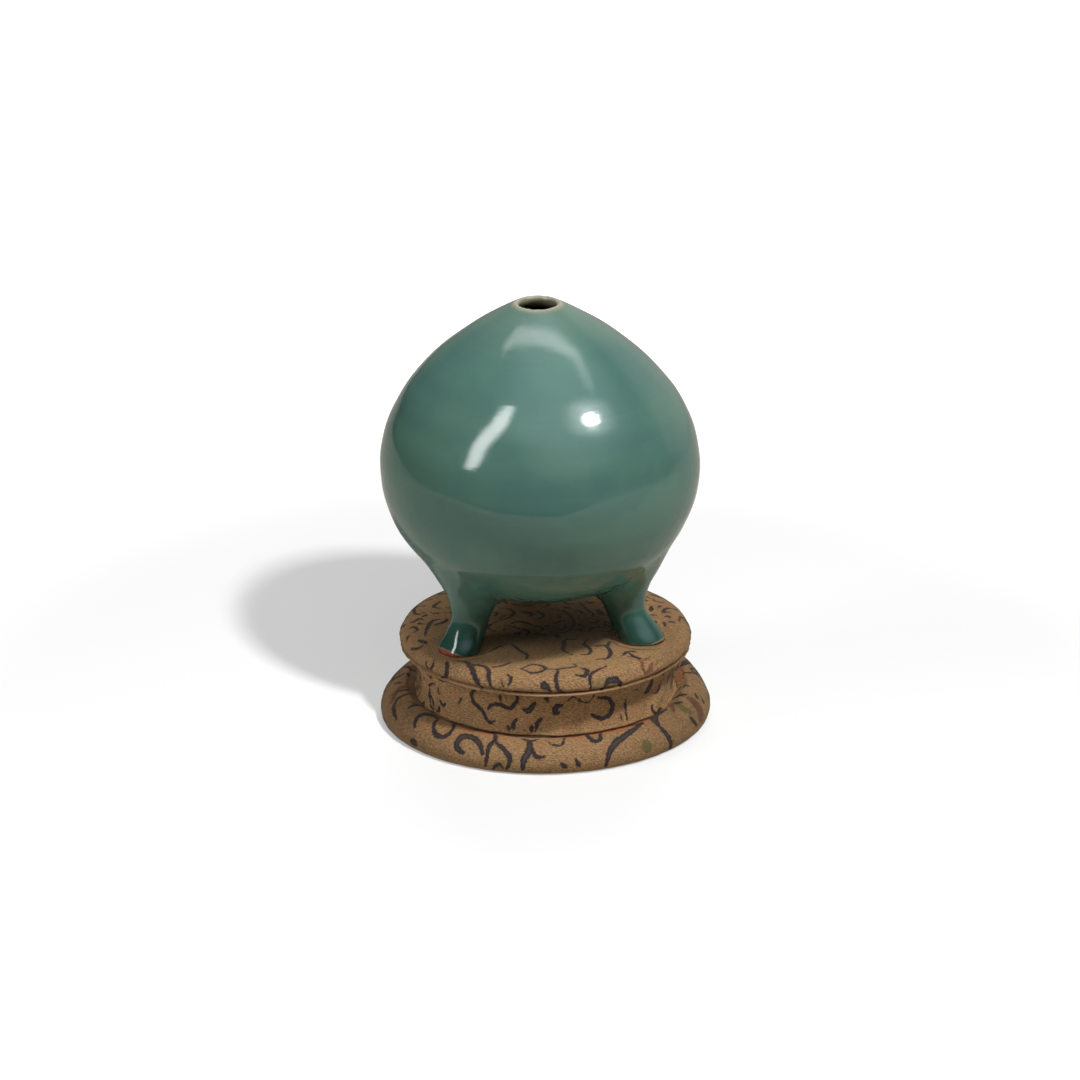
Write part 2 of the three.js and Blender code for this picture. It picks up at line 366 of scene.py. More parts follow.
def throwing_waves(point):
    """The slight unevenness that throwing and turning leave on the outside."""
    angle = np.arctan2(point[:, 0], -point[:, 1])
    height = point[:, 2]
    return (1 - smoothstep(*WAVES_END, height)) * sum(
        size * np.sin(height / length + turns * angle + swing * np.sin(angle + start))
        for size, length, turns, swing, start in THROWING_WAVES
    )


def smooth_min(a, b, width):
    h = np.clip(0.5 + 0.5 * (b - a) / width, 0, 1)
    return b + (a - b) * h - width * h * (1 - h)


def smooth_max(a, b, width):
    return -smooth_min(-a, -b, width)


def leg_tables(leg):
    """A leg's ovals at fine heights: the heights, and the ovals' centres and reaches along and across."""
    fine = np.linspace(0, LEG_LEVELS[-1], 400)
    sole_toe, foot_toe = leg["toe"] - TOE_INSET, leg["toe"] - TOE_LEAN
    centres = [(SOLE_HEEL + sole_toe) / 2, (FOOT_HEEL + foot_toe) / 2, *LEG_CENTRES]
    along = [(sole_toe - SOLE_HEEL) / 2, (foot_toe - FOOT_HEEL) / 2, *LEG_ALONG]
    along[ANKLE] -= leg["slender"]
    centres[ANKLE] -= leg["slender"]
    return fine, *(smooth_through(LEG_LEVELS, row, fine) for row in (centres, along, LEG_ACROSS))


LEG_TABLES = [(leg, leg_tables(leg)) for leg in LEGS]


def leg_frame(leg, x, y):
    """How far each place lies out from the pot's axis along a leg, and across it."""
    turn = math.radians(leg["turn"])
    return x * math.sin(turn) - y * math.cos(turn), x * math.cos(turn) + y * math.sin(turn)


def leg_field(leg, tables, point):
    """Roughly the distance to a leg, less than 0 inside it."""
    out, across = leg_frame(leg, point[:, 0], point[:, 1])
    fine, *rows = tables
    height = point[:, 2]
    centre, half_along, half_across = (np.interp(height, fine, row) for row in rows)
    away = np.hypot(out - centre, across) + 1e-9
    cosine, sine = (out - centre) / away, across / away
    radius = half_along * half_across / np.hypot(half_across * cosine, half_along * sine)
    return smooth_max(away - radius, -height, SOLE_ROUND)


def clay_value(point):
    """The field of the whole pot: less than 0 in the clay, and 0 on its surface."""
    height = point[:, 2]
    point = point.copy()
    point[:, 0] -= lean(height)
    radius = np.hypot(point[:, 0], point[:, 1])
    outside = read_table(OUTER_TABLE, radius, height)
    inside = read_table(INNER_TABLE, radius, height)
    legs = np.min([leg_field(leg, tables, point) for leg, tables in LEG_TABLES], axis=0)
    legs = smooth_max(legs, height - LEG_LEVELS[-1], ROOT_ROUND)
    legs = np.maximum(legs, -(outside + ROOT_DEPTH))
    whole = smooth_min(outside - throwing_waves(point), legs, LEG_FILLET)
    in_hollow = (radius < LIP_CREST_RADIUS) | (np.abs(inside) < np.abs(outside))
    return np.maximum(whole, np.where(in_hollow, inside, NO_HOLLOW))


def clay_grid():
    """The field on a grid round the pot."""
    reach = BODY_RADIUS + GRID_MARGIN
    across = np.arange(-reach, reach, CLAY_CELL)
    up = np.arange(GRID_FOOT, GRID_HEAD, CLAY_CELL)
    grid = np.stack(np.meshgrid(across, across, up, indexing="ij"), axis=-1)
    return across, up, clay_value(grid.reshape(-1, 3)).reshape(grid.shape[:3])


def surface_net(across, up, values):
    """Points and four-sided faces of the surface where the values change sign."""
    shape = np.array(values.shape)
    origin = np.array([across[0], across[0], up[0]])
    total = np.zeros((*(shape - 1), 3))
    count = np.zeros(shape - 1)
    crossings = []
    for axis in range(3):
        low = values[tuple(slice(0, -1) if k == axis else slice(None) for k in range(3))]
        high = values[tuple(slice(1, None) if k == axis else slice(None) for k in range(3))]
        spot = np.argwhere((low < 0) != (high < 0))
        a, b = low[tuple(spot.T)], high[tuple(spot.T)]
        place = spot.astype(float)
        place[:, axis] += a / (a - b)
        others = [k for k in range(3) if k != axis]
        keep = ((spot[:, others] > 0) & (spot[:, others] < shape[others] - 1)).all(1)
        spot, place, a = spot[keep], place[keep], a[keep]
        around = []
        for first, second in ((-1, -1), (0, -1), (0, 0), (-1, 0)):
            cell = spot.copy()
            cell[:, others[0]] += first
            cell[:, others[1]] += second
            np.add.at(total, tuple(cell.T), place)
            np.add.at(count, tuple(cell.T), 1)
            around.append(cell)
        crossings.append((around, (a < 0) == (axis != 1)))
    used = count > 0
    number = np.full(used.shape, -1)
    number[used] = np.arange(used.sum())
    points = origin + CLAY_CELL * total[used] / count[used][:, None]
    faces = []
    for around, forward in crossings:
        quad = np.stack([number[tuple(cell.T)] for cell in around], axis=1)
        quad[~forward] = quad[~forward][:, ::-1]
        faces.append(quad)
    return points, np.concatenate(faces)


def settle(points):
    """Moves the points onto the exact surface, and gives its normals there."""
    step = TABLE_STEP
    for _ in range(SETTLE_ROUNDS):
        value = clay_value(points)
        slope = np.stack(
            [(clay_value(points + step * axis) - clay_value(points - step * axis)) / (2 * step)
             for axis in np.eye(3)],
            axis=1,
        )
        size = (slope ** 2).sum(1)
        move = np.clip(value / np.maximum(size, LEAST_SLOPE), -SETTLE_REACH, SETTLE_REACH)
        points = points - move[:, None] * slope
    return points, slope / np.sqrt(size)[:, None]


def glaze_attributes(made, points):
    """Where the glaze thins to white, where the inside begins, and where the clay is bare."""
    height = points[:, 2]
    radius = np.hypot(points[:, 0] - lean(height), points[:, 1])
    add_values(made, "from_lip", np.hypot(radius - LIP_CREST_RADIUS, height - POT_HEIGHT))
    inside = smoothstep(*INSIDE_EDGE, read_table(INNER_TABLE, radius, height))
    add_values(made, "inside", np.where(height > BELLY_HEIGHT, inside, 0))
    bare = np.full(len(points), NOT_BARE)
    for leg in LEGS:
        out, across = leg_frame(leg, points[:, 0], points[:, 1])
        near = np.hypot(out - FOOT_MIDDLE, across) < FOOT_REACH
        edge = SOLE_BARE + leg["bare"] * smoothstep(*TOE_RUN, out - leg["toe"] - TOE_BEND * across ** 2)
        bare[near] = np.maximum(bare, edge - height)[near]
    add_values(made, "bare", bare)


def make_pot():
    points, faces = surface_net(*clay_grid())
    points, normals = settle(points)
    made = make_object("pot_glaze", points + POT_FOOT, faces.tolist())
    made.data.normals_split_custom_set_from_vertices(normals.tolist())
    glaze_attributes(made, points)
    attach(made, "pot")
    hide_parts("pot_body", "left_leg", "right_leg", "back_leg")
    return made


# Cloth shells: rings of points, fine on the outside and coarse on the inside

def ring_faces(a, here, b, there):
    """Faces between two rings whose first points are a and b, and whose counts differ by 1, 2 or 4 times."""
    if min(here, there) == 1:
        if here == 1:
            return [(a, b + (i + 1) % there, b + i) for i in range(there)]
        return [(a + i, a + (i + 1) % here, b) for i in range(here)]
    faces = []
    most = max(here, there)
    step_a, step_b = most // here, most // there
    stretch = max(step_a, step_b)
    for i in range(0, most, stretch):
        places = range(i, i + stretch + 1)
        low = [a + k // step_a % here for k in places if k % step_a == 0]
        high = [b + k // step_b % there for k in places if k % step_b == 0]
        while len(low) > 1 or len(high) > 1:
            if len(low) == len(high):
                faces.append((low[0], low[1], high[1], high[0]))
                low, high = low[1:], high[1:]
            elif len(low) > len(high):
                faces.append((low[0], low[1], high[0]))
                low = low[1:]
            else:
                faces.append((low[0], high[1], high[0]))
                high = high[1:]
    return faces


def stack_rings(rings, closed=False):
    """Points and faces of a stack of rings. A closed stack joins its last ring to its first."""
    starts = np.cumsum([0] + [len(ring) for ring in rings])
    faces = []
    count = len(rings) if closed else len(rings) - 1
    for k in range(count):
        after = (k + 1) % len(rings)
        faces += ring_faces(starts[k], len(rings[k]), starts[after], len(rings[after]))
    return np.concatenate(rings), [tuple(int(i) for i in reversed(face)) for face in faces]


def along_line(line, spacing):
    """The line with a point about every spacing, and each point's distance along it."""
    run = np.concatenate([[0], np.cumsum(np.linalg.norm(np.diff(line, axis=0), axis=1))])
    places = np.linspace(0, run[-1], max(int(run[-1] / spacing), 2) + 1)
    return np.stack([np.interp(places, run, line[:, k]) for k in range(2)], axis=1), places


def rounded_line(corners):
    """A smooth line through a few profile points."""
    corners = np.array(corners, float)
    chord = np.linalg.norm(np.diff(corners, axis=0), axis=1) ** 0.5
    run = np.concatenate([[0], np.cumsum(chord)])
    fine = np.linspace(0, run[-1], LINE_FINENESS * len(corners))
    return np.stack([smooth_through(run, corners[:, k], fine) for k in range(2)], axis=1)


def ring_count(radius, most):
    """How many points a ring has: most, or most divided by 2 until they aren't too close."""
    count = most
    while count > LEAST_RING and 2 * math.pi * radius / count < 0.7 * CLOTH_SPACING:
        count //= 2
    return count


def cloth_shell(name, line, shape, ring_points, closed_top):
    """A cloth shell turned from a profile line, with its thickness inside, moved by its shape function."""
    outer, outer_run = along_line(line, CLOTH_SPACING)
    inner_line = line - CLOTH_THICKNESS * normals_along(line[::-1])[::-1]
    inner, inner_run = along_line(inner_line, COARSER_INSIDE * CLOTH_SPACING)
    inner_run = inner_run * outer_run[-1] / inner_run[-1]
    rings, runs, azimuths = [], [], []
    sides = (
        (outer, outer_run, ring_points),
        (inner[::-1], inner_run[::-1], ring_points // COARSER_INSIDE),
    )
    for path, path_run, most in sides:
        for (radius, height), run in zip(path, path_run, strict=True):
            centre = closed_top and run == 0
            count = 1 if centre else ring_count(radius, most)
            azimuth = 2 * math.pi * np.arange(count) / count
            wider, higher = shape(np.full(count, run), azimuth, radius)
            reach = np.zeros(1) if centre else radius + wider
            rings.append(polar(azimuth, reach, height + higher))
            runs.append(np.full(count, run))
            azimuths.append(azimuth)
    points, faces = stack_rings(rings, closed=not closed_top)
    made = make_object(name, points, faces)
    return made, np.concatenate(runs), np.concatenate(azimuths), outer_run[-1]


def smooth_wander(azimuth, waves, seed, size):
    """A slow wander round the ring that closes on itself."""
    draw = np.random.default_rng(seed)
    total = np.zeros_like(azimuth)
    for k in waves:
        total += draw.normal() * np.sin(k * azimuth + draw.uniform(0, 2 * math.pi)) / math.sqrt(len(waves))
    return size * total


def on_disc(run, azimuth):
    """Places on the flat cloth of a round cover."""
    return np.stack([run * np.sin(azimuth), -run * np.cos(azimuth)], axis=1)


def on_band(run, azimuth):
    """Places on the flat cloth of the waist."""
    return np.stack([half_turn(azimuth) * WAIST_RADIUS, run], axis=1)


def foot_press(x, y):
    """How far a foot presses the pad down at a place: 1 under a sole, 0 away from it."""
    press = np.zeros_like(x)
    for leg in LEGS:
        out, across = leg_frame(leg, x - POT_AXIS[0], y - POT_AXIS[1])
        centre = (SOLE_HEEL + leg["toe"]) / 2
        half = (leg["toe"] - SOLE_HEEL) / 2
        away = np.hypot((out - centre) / (half + PRESS_PAST), across / PRESS_ACROSS)
        press = np.maximum(press, 1 - smoothstep(1.0, PRESS_SPREAD, away))
    return press


def fold_rise(places, folds):
    """How far the small folds lift the cloth at its places."""
    return FOLD_RISE * (1 - smoothstep(*FOLD_EDGE, stroke_field(places, drawn(folds))))


def top_shape(run, azimuth, radius):
    """The top's cover: swelling between the feet, pressed down under them, puckered round its side."""
    x, y = radius * np.sin(azimuth), -radius * np.cos(azimuth)
    on_pad = 1 - smoothstep(*TOP_PAD_EDGE, run)
    rise = PAD_RISE * on_pad * (1 - foot_press(x, y))
    pucker = plateau(run, *TOP_SIDE) * smooth_wander(azimuth, *TOP_PULL)
    swell = TOP_SWELL * np.sin(3 * azimuth + 1.1) * smoothstep(*TOP_SWELL_START, run)
    slack = on_pad * TOP_SLACK * np.sin(x / 4.1 + 1.3) * np.sin(y / 5.3 + 0.4)
    fold = 0.7 * fold_rise(on_disc(run, azimuth), TOP_FOLDS)
    return pucker + swell + fold, rise + slack + fold


def waist_shape(run, azimuth, radius):
    """The waist's cover: slanting folds, and the overlap of the band's ends at its seam."""
    overlap = SEAM_RISE * plateau(half_turn(azimuth - WAIST_SEAM), *SEAM_OVERLAP)
    folds = smooth_wander(azimuth + 0.025 * run, *WAIST_PULL)
    return folds + overlap + fold_rise(on_band(run, azimuth), WAIST_FOLDS), np.zeros_like(azimuth)


def base_shape(run, azimuth, radius):
    """The base's cover: slightly oval, puckered near the waist, and full on its shoulder."""
    outside = smoothstep(*BASE_OUTSIDE, run)
    oval = -(0.5 + 0.25 * np.sin(azimuth)) * np.sin(2 * azimuth) * outside
    pucker = smooth_wander(azimuth, *BASE_PULL)
    near_groove = plateau(run, *BASE_GROOVE)
    fold = fold_rise(on_disc(run, azimuth), BASE_FOLDS)
    bulge = plateau(run, *BASE_SHOULDER)
    uneven = 0.4 + 0.9 * np.maximum(np.sin(azimuth - 0.1), 0) + 1.1 * np.maximum(-np.sin(azimuth), 0) ** 3
    uneven += 1.4 * np.maximum(np.sin(azimuth - 0.6), 0) ** 4
    return oval + 0.5 * pucker * outside, pucker * near_groove + bulge * uneven + fold


def cover_of_top():
    line = rounded_line([
        (0, TOP_HEAD), (12, TOP_HEAD), (24, TOP_HEAD), (31, TOP_HEAD),
        (TOP_RADIUS - 2.6, TOP_HEAD - 0.35), (TOP_RADIUS - 0.75, TOP_HEAD - 1.15),
        (TOP_RADIUS, TOP_HEAD - 2.2), (TOP_RADIUS - 0.05, TOP_FOOT + 1.1),
        (TOP_RADIUS - 0.85, TOP_FOOT + 0.5), (TOP_RADIUS - 0.1, TOP_FOOT - 0.05),
        (TOP_RADIUS - 0.7, TOP_FOOT - 0.65), (TOP_RADIUS - 1.8, TOP_FOOT - 0.4),
        (TOP_RADIUS - 2.8, TOP_FOOT), (TOP_RADIUS - 5.5, TOP_FOOT),
    ])
    made, run, azimuth, whole = cloth_shell("top_brocade", line, top_shape, TOP_RING, True)
    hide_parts("top_cover")
    # Painted shade in the crease under the top's edge, in full at the front
    mark_ring(made, "crease_shade", TOP_RADIUS - 0.85, TOP_FOOT + 0.5, reach=0.6, spans=((-17, 23),), rest=0.2)
    # Painted highlight: a pale line along the bead at the top's lower edge, in full between these azimuths
    bright = ((-38, -27), (-5, 24))
    mark_ring(made, "ridge_highlight", TOP_RADIUS - 0.1, TOP_FOOT - 0.05, reach=0.45, spans=bright, rest=0)
    return made, on_disc(run, azimuth)


def cover_of_waist():
    foot, head = BASE_HEAD, TOP_FOOT
    line = rounded_line([
        (32.5, head), (32.25, head - 3), (32.15, (foot + head) / 2), (32.3, foot + 3), (32.7, foot + 0.9),
        (WAIST_FOOT_RADIUS, foot + 0.15),
    ])
    made, run, azimuth, whole = cloth_shell("waist_brocade", line, waist_shape, TOP_RING, False)
    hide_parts("waist_cover")
    # Painted shade in the groove where the waist's cloth meets the base
    mark_ring(made, "crease_shade", WAIST_FOOT_RADIUS, foot, reach=0.6, spans=((-45, 45),), rest=0.4)
    return made, on_band(run, azimuth)


def cover_of_base():
    line = rounded_line([
        (0, BASE_HEAD), (15, BASE_HEAD), (29, BASE_HEAD), (33.2, BASE_HEAD - 0.05), (35.8, BASE_HEAD - 0.1),
        (38.3, BASE_HEAD - 0.95), (40.3, BASE_HEAD - 2.4), (BASE_RADIUS + 0.05, BASE_HEAD - 4.2),
        (BASE_RADIUS + 0.05, 1.6), (BASE_RADIUS - 0.3, 0.65), (BASE_RADIUS - 1.2, BASE_FOOT),
        (BASE_RADIUS - 3.5, BASE_FOOT), (BASE_RADIUS - 6, BASE_FOOT),
    ])
    made, run, azimuth, whole = cloth_shell("base_brocade", line, base_shape, BASE_RING, True)
    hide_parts("base_cover")
    # Painted shade in the groove where the base meets the waist
    mark_ring(made, "crease_shade", WAIST_FOOT_RADIUS + 0.3, BASE_HEAD, reach=0.8, spans=((-45, 45),), rest=0.4)
    return made, on_disc(run, azimuth)


def mark_ring(made, name, radius, height, reach, spans, rest):
    """Marks how near a cover's points are to a ring round it: 1 on it, 0 beyond its reach. It is marked
    in full between the spans' azimuths in degrees, and by the given rest elsewhere."""
    points = np.empty(3 * len(made.data.vertices))
    made.data.vertices.foreach_get("co", points)
    points = points.reshape(-1, 3) / MM
    away = np.hypot(np.hypot(points[:, 0], points[:, 1]) - radius, points[:, 2] - height)
    azimuth = np.degrees(np.arctan2(points[:, 0], -points[:, 1]))
    inside = np.zeros(len(points))
    for low, high in spans:
        inside = np.maximum(inside, plateau(azimuth, low - 8, low + 4, high - 4, high + 8))
    add_values(made, name, (1 - smoothstep(0.3 * reach, reach, away)) * (rest + (1 - rest) * inside))


# The brocade's scrolling vines, drawn on the flat cloth in millimetres. A place is how far it lies to the
# right and away from the cloth's middle. On the waist it is how far round to the right, and how far down.
# Each line is a stroke's width and the places that it runs through.

TOP_VINES = (
    (0.8, (-30, 11), (-32.5, 12), (-33, 9), (-32, 5.5), (-30, 7)),
    (0.9, (-26.5, 14), (-28, 10), (-26, 9)),
    (0.9, (-30, -9), (-29.5, -4), (-28, 1), (-26, 2)),
    (1.1, (-27.5, -2), (-25, 0.5), (-24.5, 2.5)),
    (0.8, (-34, -3.5), (-33, -2.5), (-32, -5), (-33, -6.5)),
    (0.7, (-34, -7), (-35, -9.5)),
    (1.3, (-31.5, -11.5), (-29.5, -13.5)),
    (0.6, (-34, -13), (-31.5, -15.5), (-30, -14)),
    (0.9, (-30, -21), (-30.5, -23), (-28.5, -23.5), (-27.5, -22)),
    (1.1, (-24.5, -24), (-24.5, -26.5), (-25.5, -28), (-28.5, -27.5)),
    (1.2, (-22, -24), (-20, -25.5), (-18.5, -28.5), (-17.5, -31.5), (-17, -34), (-17.5, -37)),
    (1.0, (-19, -27.5), (-15.5, -28.5), (-14, -31), (-14, -33.5), (-13.5, -36.5)),
    (0.9, (-8.5, -14.5), (-6.5, -18.5), (-4.5, -22), (-5, -25)),
    (0.7, (-14, -19), (-12, -17), (-9.5, -14.5)),
    (0.8, (-13, -29.5), (-10.5, -28.5), (-8.5, -26)),
    (0.9, (-6, -30.5), (-3, -28), (0, -30.5), (-3, -33), (-6, -30.5)),
    (0.8, (-9.5, -33), (-8.5, -34.5), (-9.5, -36)),
    (0.6, (-11, -34), (-10.5, -36)),
    (1.4, (-1, -36.5), (0.5, -36.5)),
    (0.7, (-8.5, 12.5), (-5, 11), (-2, 12.5)),
    (1.0, (7.5, -11.5), (5, -11.5), (4.5, -15), (4.5, -19), (7, -22)),
    (1.0, (10.5, -11), (9.5, -14.5), (11, -18), (10.5, -21), (8.5, -21.5)),
    (1.0, (12.5, -16), (14.5, -15.5), (16, -20), (15, -24), (12, -24.5)),
    (0.8, (15.5, -18), (15.5, -14.5), (16.5, -12), (18, -14)),
    (0.9, (19, -22), (20.5, -19.5), (22.5, -20)),
    (0.9, (20.5, -20.5), (22.5, -23.5), (24, -23.5)),
    (0.7, (0, -31), (3, -31), (5.5, -30), (7.5, -29), (6.5, -27)),
    (1.1, (8.5, -30), (10, -31), (9.5, -33.5), (7, -33.5)),
    (0.8, (15, -28.5), (12.5, -31), (11, -33), (11, -35), (12, -37)),
    (1.0, (3, -32), (2.5, -35), (3, -37), (5, -38.5)),
    (1.0, (0, -36.5), (1.5, -38)),
    (1.3, (15, -36.5), (15.5, -33.5), (17, -32.5), (18.5, -32.5), (20.5, -34)),
    (0.9, (26.5, 19.5), (28.5, 18), (30.5, 17)),
    (1.1, (26.5, 10.5), (26.5, 7)),
    (0.9, (33, 9.5), (30.5, 9.5), (29.5, 6.5), (31.5, 7)),
    (0.8, (33.5, 1), (34, 5), (35.5, 2.5), (36, 1.5)),
    (0.9, (29.5, 0), (30, -2.5)),
    (0.8, (1, 9), (4, 8), (6.5, 3.5), (7, -2), (5, -6.5), (2.5, -7)),
    (0.7, (8.5, 14), (10.5, 8.5), (12, 5), (10.5, 2)),
    (0.7, (11, -6.5), (11.5, -4), (13, -3), (14.5, -4.5)),
)
WAIST_VINES = (
    (1.0, (-18.5, -1), (-18, 1.5), (-19.5, 3.5), (-19, 5.5), (-16.5, 7.5), (-15, 9.5), (-14, 10), (-12.5, 9)),
    (1.0, (-15, 7), (-14, 5.5), (-12, 5), (-9, 5.5), (-7.5, 4), (-7, 2.5), (-7.5, 1)),
    (0.7, (-11.5, 2), (-11.5, 3.5), (-11, 4.5)),
    (0.7, (-24, 7.5), (-22.5, 5)),
    (1.3, (-5.5, 5.5), (-4.5, 6), (-2.5, 3.5)),
    (1.0, (-8, 11), (-8, 9.5), (-7, 8)),
    (0.9, (-9, 11.5), (-9.5, 10)),
    (1.0, (-2.5, 11), (-2, 9), (-0.5, 7.5)),
    (0.9, (-3.5, 11.5), (-3.5, 9.5)),
    (1.1, (0, 1), (0.5, 3.5)),
    (0.6, (5, 3.5), (7, 2.5), (9.5, 4), (11, 4), (12.5, 2)),
    (1.3, (4, 4.5), (2.5, 5), (2.5, 6.5), (3.5, 6.5)),
    (1.2, (13.5, 3.5), (16, 4), (17.5, 6.5), (16.5, 8.5), (14, 9), (11.5, 7.5)),
    (0.7, (21.5, 5.5), (21.5, 11.5)),
    (0.5, (20, 9), (20, 11)),
    (1.5, (31.5, 2.5), (30, 5), (28, 5.8)),
    (0.6, (35.5, 2), (35.5, 8), (34.5, 10.5)),
    (0.6, (24.5, 4), (25.5, 4)),
    (0.8, (-21, 0), (-22.5, 2)),
)
BASE_VINES = (
    (1.4, (-34.5, 3.5), (-34, 5)),
    (0.9, (-38, 0), (-36, -1.5)),
    (1.0, (-39, -5.5), (-37, -6), (-34.5, -6.2), (-33, -5), (-32.5, -6.5)),
    (1.1, (-33, -8), (-35, -9), (-37, -9.7), (-38, -11), (-38, -13.5), (-37.5, -17)),
    (1.2, (-34, -16), (-32.5, -15.3), (-30.5, -16), (-29, -17.5), (-28, -20.5)),
    (1.3, (-32.5, -23.5), (-32, -21.5), (-30.5, -20.5), (-28, -21.5), (-26.5, -23)),
    (1.1, (-26, -23), (-27.5, -25.5), (-27, -29), (-25, -30.5), (-23.5, -30), (-22.5, -27.5), (-23.5, -24.5)),
    (1.5, (-20.5, -36.5), (-21.5, -35.5), (-22, -34), (-20.5, -32), (-18, -33), (-16, -36), (-15.5, -38.5)),
    (1.1, (-13, -28.5), (-12.5, -35), (-14, -37), (-15, -40), (-16, -41.5)),
    (1.2, (-12.5, -35.5), (-10, -38.5), (-9, -41), (-10.5, -43.5)),
    (0.9, (-14, -42.5), (-12, -41.5), (-11, -43)),
    (0.9, (-6, -35), (-4, -36), (-1.5, -35.5)),
    (1.6, (-4, -36), (-4, -39), (-5.5, -41.5), (-6, -44)),
    (1.0, (-3.5, -38), (-3, -40), (-2, -41), (0, -41)),
    (1.6, (-34.5, -26), (-33.5, -28)),
    (0.7, (0, -36), (1.5, -37.5), (4, -37.5), (4.5, -35.5), (5.5, -32)),
    (1.0, (8.5, -33.5), (9.5, -32), (10.5, -34.5), (12, -36), (13.5, -35), (13.5, -32.5), (15, -30.5)),
    (0.7, (15, -30.5), (20.5, -28.5), (24, -26.5)),
    (1.5, (24, -26.5), (21.5, -30.5), (19, -33.5), (17, -36), (16, -38.5), (16, -42)),
    (1.1, (4, -42.5), (5.5, -43.5)),
    (1.1, (7.5, -41), (9, -43)),
    (2.0, (29.5, -18.5), (27.3, -21.5), (27, -24), (28.5, -26)),
    (1.3, (28.5, -26), (31, -27), (33.5, -28.5), (35, -30)),
    (0.9, (31, 2.5), (32, 0.5), (32.8, -1)),
    (1.2, (30.5, -6.5), (33, -6), (36, -4)),
    (1.2, (31, -10), (33, -10), (35.5, -9)),
    (0.9, (32, -14.5), (34.5, -13.5)),
    (1.6, (34.5, 8), (36.5, 14)),
    (1.2, (38, -6.5), (38.3, -8)),
    (1.1, (40, -5.5), (40.5, -7)),
    (1.3, (37, -17), (40, -16.5)),
)
TOP_MAROON = (
    (1.0, (20.5, -23), (22.5, -23.3), (23.5, -25.5)),
    (1.0, (23.5, -24.5), (24, -26.5), (25, -27.5)),
    (0.9, (25, -27.5), (26, -25.5), (26.5, -24)),
    (0.8, (24, -24.5), (26, -22)),
)
BASE_MAROON = (
    (1.4, (31, -5.5), (31.3, -2.5), (32.5, -1)),
    (1.8, (28.5, -11.5), (30, -12.5), (31.5, -16.5), (32, -19)),
    (3.0, (36.5, -10.5), (38.8, -11), (40, -12.5), (40, -14)),
    (1.6, (-38.5, -9), (-36.5, -4.5), (-33, -4.5)),
    (1.2, (-33, -13.5), (-30.5, -16.5)),
)
BASE_RUST = (
    (2.0, (1.2, -34.6), (11.8, -32.9), (22.2, -27.4), (28, -21.8)),
    (1.4, (-10, -33.6), (-18, -29.8), (-25, -24.3)),
    (2.5, (33.5, 6), (34, 0.5)),
)
BASE_GREEN = (
    (2.6, (25.5, -33), (26.5, -33)),
    (2.0, (32.5, -14.5), (34.5, -15.8), (37, -15)),
    (1.6, (-29.5, -15), (-28, -17)),
)

# What the cloth is dyed in places: the attribute, and its darker and lighter colours
DYES = (
    ("maroon", (76, 38, 36), (104, 56, 48)),
    ("green", (72, 74, 42), (102, 100, 60)),
    ("rust", (150, 78, 48), (198, 116, 78)),
)

# Small folds of the three covers: a width and the places that each runs through
TOP_FOLDS = (
    (0.9, (25.4, -27), (28.9, -23.5), (31.7, -19.2)),
    (0.6, (26.3, -23.9), (28.9, -20.6), (31.4, -16.1)),
    (0.6, (-14.7, -29.7), (-14.3, -33.4)),
    (0.9, (-23.2, -24.9), (-18.6, -29), (-16.2, -32)),
)
WAIST_FOLDS = (
    (0.5, (-50, 1), (-42, 6), (-34, 10)),
    (0.5, (-34, 3), (-26.7, 6.4), (-22.7, 9.5)),
    (0.4, (-29, 2), (-20.2, 6.5)),
    (0.5, (-41, 4), (-30.6, 8.3), (-26.3, 11)),
    (0.9, (38.6, 0), (38.4, 12)),
    (0.5, (35.6, 1), (35, 9)),
)
BASE_FOLDS = (
    (0.8, (31, -13), (34.4, -6), (35.9, 0)),
    (0.7, (31.5, -9.5), (35.5, -4.5)),
    (0.7, (31.5, -5), (35.3, 2.9)),
    (0.8, (29.4, -15.5), (31.6, -19.2)),
)
FOLD_RISE = 0.4
FOLD_EDGE = (-0.4, 0.6)

# How far from a stroke its field reaches, how far apart a curl's points are, how near to an older stroke
# it may come, how many of its first points needn't keep that, and how many places the scrolls try
STROKE_REACH = 3.0
CURL_SPACING = 0.35
CURL_CLEARANCE = 1.5
CURL_START = 2
SCROLL_TRIES = 4000

# The rounds of scrolls that fill the cloth: how far apart they begin, and their size
SCROLL_ROUNDS = ((8, 5.5), (4.5, 3.2), (3, 1.2))


def curl(x, y, heading, length, bend, end_bend, width):
    """A stroke that starts at a point, with its curvature in degrees per mm changing evenly to its end."""
    steps = max(int(length / CURL_SPACING), 6)
    step = length / steps
    angle = math.radians(heading)
    points = [(x, y)]
    for i in range(steps):
        angle += math.radians(bend + (end_bend - bend) * (i + 0.5) / steps) * step
        x += step * math.cos(angle)
        y += step * math.sin(angle)
        points.append((x, y))
    return {"points": np.array(points), "width": width}


def stroke_field(places, strokes):
    """Distance from each place on the cloth to the edge of the nearest stroke, less than 0 inside it."""
    field = np.full(len(places), STROKE_REACH)
    for stroke in strokes:
        line = stroke["points"]
        low, high = line.min(0) - STROKE_REACH, line.max(0) + STROKE_REACH
        near = np.nonzero(((places > low) & (places < high)).all(1))[0]
        if not len(near):
            continue
        start, step = line[:-1], np.diff(line, axis=0)
        point = places[near][:, None]
        t = np.clip(((point - start) * step).sum(2) / (step ** 2).sum(1), 0, 1)
        away = np.linalg.norm(point - start - t[..., None] * step, axis=2)
        share = (np.arange(len(step)) + t) / len(step)
        half = stroke["width"] / 2 * (0.75 + 0.5 * np.sin(math.pi * np.clip(share, 0, 1)))
        field[near] = np.minimum(field[near], (away - half).min(1))
    return field


def drawn(lines):
    """Strokes from lists of a width and the places that a line runs through."""
    return [{"points": rounded_line(places)[::STROKE_THINNING], "width": width} for width, *places in lines]


